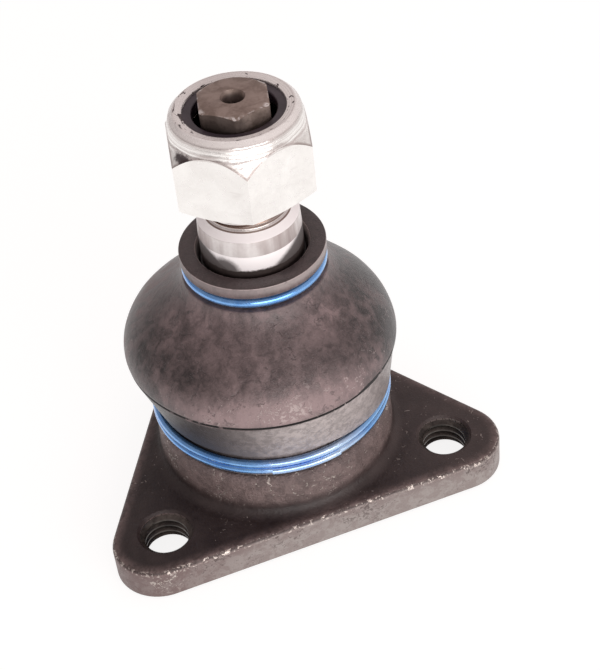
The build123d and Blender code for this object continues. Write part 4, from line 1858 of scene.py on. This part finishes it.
class Stud(SubAssembly):
    """Ball stud with its cut thread, lock nut and locking ring."""

    sizes = StudSizes()

    def build(self) -> None:
        """Rebuilds the stud round its thread and dresses the nut and ring."""
        steel = GroundStud().make("ground stud steel", self.effects)
        foot, top = self.sizes.undercut_end, self.sizes.thread_end
        shank = self.plain_part("stud_shank", foot, keep_above=False, material=steel)
        self.plain_part("stud_drive_end", top, keep_above=True, material=steel)
        self.threaded_part(steel)
        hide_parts("ball_stud")
        self.dress(ZincPlate(), "bright zinc", "lock_nut")
        ring = Clouded(
            dark=(0.022, 0.014, 0.022), light=(0.060, 0.044, 0.058), roughness=(0.28, 0.40)
        )
        self.dress(ring, "locking ring plastic", "nut_insert")

    def plain_part(self, name: str, height: float, keep_above: bool, material: Material) -> Piece:
        """One side of the stud's solid, cut level and closed.

        Args:
            name: name of the piece.
            height: height of the cut, in millimetres.
            keep_above: whether the upper side is wanted.
            material: finish of the steel.

        Returns:
            The piece.
        """
        mesh = bmesh.new()
        mesh.from_mesh(self.nodes["ball_stud"].data)
        bmesh.ops.remove_doubles(mesh, verts=mesh.verts[:], dist=Shaper.LEVEL)
        bmesh.ops.holes_fill(mesh, edges=Shaper.cut(mesh, height, keep_above), sides=0)
        mesh = Shaper.outward(mesh)
        piece = Shaper.object(mesh, name, material, self.sizes.plain_crisp_angle)
        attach(piece, Body.STUD.value)
        return piece

    def threaded_part(self, material: Material) -> None:
        """Builds the stud's thread, chamfered at both ends and closed on a core.

        Args:
            material: finish of the steel.
        """
        s = self.sizes
        at_foot = s.thread.outer_radius - s.start_chamfer - s.undercut_end
        at_top = s.thread.outer_radius - s.end_chamfer + s.thread_end
        mesh = s.thread.ring(
            s.undercut_end,
            s.thread_end,
            wall=s.core_radius,
            chamfer=lambda height: min(at_top - height, at_foot + height),
            outside=True,
        )
        piece = Shaper.object(mesh, "stud_thread", material, s.thread_crisp_angle)
        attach(piece, Body.STUD.value)


# ---- Studio --------------------------------------------------------------------


@dataclass(frozen=True)
class SoftBox:
    """One soft area light, aimed at the joint."""

    name: str = "front key"
    azimuth: float = 2.0
    elevation: float = 13.0
    distance: float = 620.0
    size: Point = (640.0, 280.0)
    power: float = 2.4
    tint: Colour = (1.0, 0.985, 0.97)


@dataclass(frozen=True)
class StudioSetup:
    """Where the camera, light and floor stand."""

    camera_place: Triple = (-61.33, -223.12, 236.73)
    camera_right: Triple = (0.92764, -0.36361, -0.08528)
    camera_up: Triple = (0.30274, 0.59837, 0.74183)
    lens: float = 87.15
    sensor_width: float = 36.0
    aim: Triple = (0.0, 0.0, 40.0)
    floor_size: float = 6000.0
    sky: Colour = (0.66, 0.575, 0.565)
    horizon: Colour = (0.66, 0.61, 0.60)
    sky_height: Ramp = (0.05, 0.45)
    side_level: Ramp = (-0.8, 0.4, 0.62, 1.0)
    backdrop: Colour = (0.93, 0.925, 0.92)
    key_light: SoftBox = SoftBox()


class Studio:
    """Pale floor, soft light and the camera."""

    setup = StudioSetup()

    def __init__(self, effects: EffectLibrary) -> None:
        """Keeps the effects library for the floor's finish."""
        self.effects = effects

    def build(self) -> None:
        """Lays the floor, hangs the light and sets the camera."""
        self.floor()
        self.surround()
        self.light(self.setup.key_light)
        self.camera()
        bpy.context.scene.view_settings.view_transform = "Standard"

    def floor(self) -> None:
        """Plain pale floor under the flange."""
        mesh = bmesh.new()
        half = self.setup.floor_size * MM / 2.0
        bmesh.ops.create_grid(mesh, x_segments=2, y_segments=2, size=half)
        paper = StudioPaper().make("studio paper", self.effects)
        piece = Shaper.object(mesh, "studio_floor", paper)

    def surround(self) -> None:
        """Pale surround at eye height that falls off overhead."""
        setup = self.setup
        world = bpy.data.worlds.new("studio surround")
        world.use_nodes = True
        bpy.context.scene.world = world
        graph = Graph(world.node_tree)
        side, _, height = graph.split(graph.value("ShaderNodeTexCoord", output="Generated"))
        tone = graph.mix(height.ramp(*setup.sky_height), setup.horizon, setup.sky)
        tone = graph.mix(1.0, tone, side.ramp(*setup.side_level), "MULTIPLY")
        seen = graph.value("ShaderNodeLightPath", output="Is Camera Ray")
        background = world.node_tree.nodes["Background"]
        graph.feed(background.inputs["Color"], tone.over(seen, setup.backdrop))
        graph.feed(background.inputs["Strength"], 1.0)

    def light(self, box: SoftBox) -> None:
        """Hangs one soft box, facing the joint.

        Args:
            box: where it hangs and how strong it is.
        """
        data = bpy.data.lights.new(box.name, "AREA")
        data.shape = "RECTANGLE"
        data.size, data.size_y = box.size[0] * MM, box.size[1] * MM
        data.energy = box.power
        data.color = box.tint
        azimuth, elevation = math.radians(box.azimuth), math.radians(box.elevation)
        level = Vector((math.sin(azimuth), -math.cos(azimuth), 0.0)) * math.cos(elevation)
        back = level + Vector((0.0, 0.0, math.sin(elevation)))
        lamp = bpy.data.objects.new(box.name, data)
        lamp.location = (Vector(self.setup.aim) + back * box.distance) * MM
        lamp.rotation_euler = back.to_track_quat("Z", "Y").to_euler()
        bpy.context.collection.objects.link(lamp)

    def camera(self) -> None:
        """Sets the camera at its measured place and turn."""
        data = bpy.data.cameras.new("camera")
        data.lens = self.setup.lens
        data.sensor_width = self.setup.sensor_width
        data.sensor_fit = "AUTO"
        data.clip_start = 0.01
        data.clip_end = 50.0
        eye = bpy.data.objects.new("camera", data)
        right, up = Vector(self.setup.camera_right), Vector(self.setup.camera_up)
        back = right.cross(up).normalized()
        turn = Matrix((right, up, back)).transposed().to_4x4()
        eye.matrix_world = Matrix.Translation(Vector(self.setup.camera_place) * MM) @ turn
        bpy.context.collection.objects.link(eye)
        bpy.context.scene.camera = eye


def main() -> None:
    """Loads the frame and builds the studio and every sub-assembly."""
    logging.basicConfig(level=logging.INFO, format="%(message)s")
    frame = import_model()
    effects = EffectLibrary()
    Studio(effects).build()
    for assembly in (Housing, Boot, Stud):
        assembly(frame, effects).build()
        log.info("finished the %s", assembly.__name__.lower())


if __name__ == "__main__":
    main()
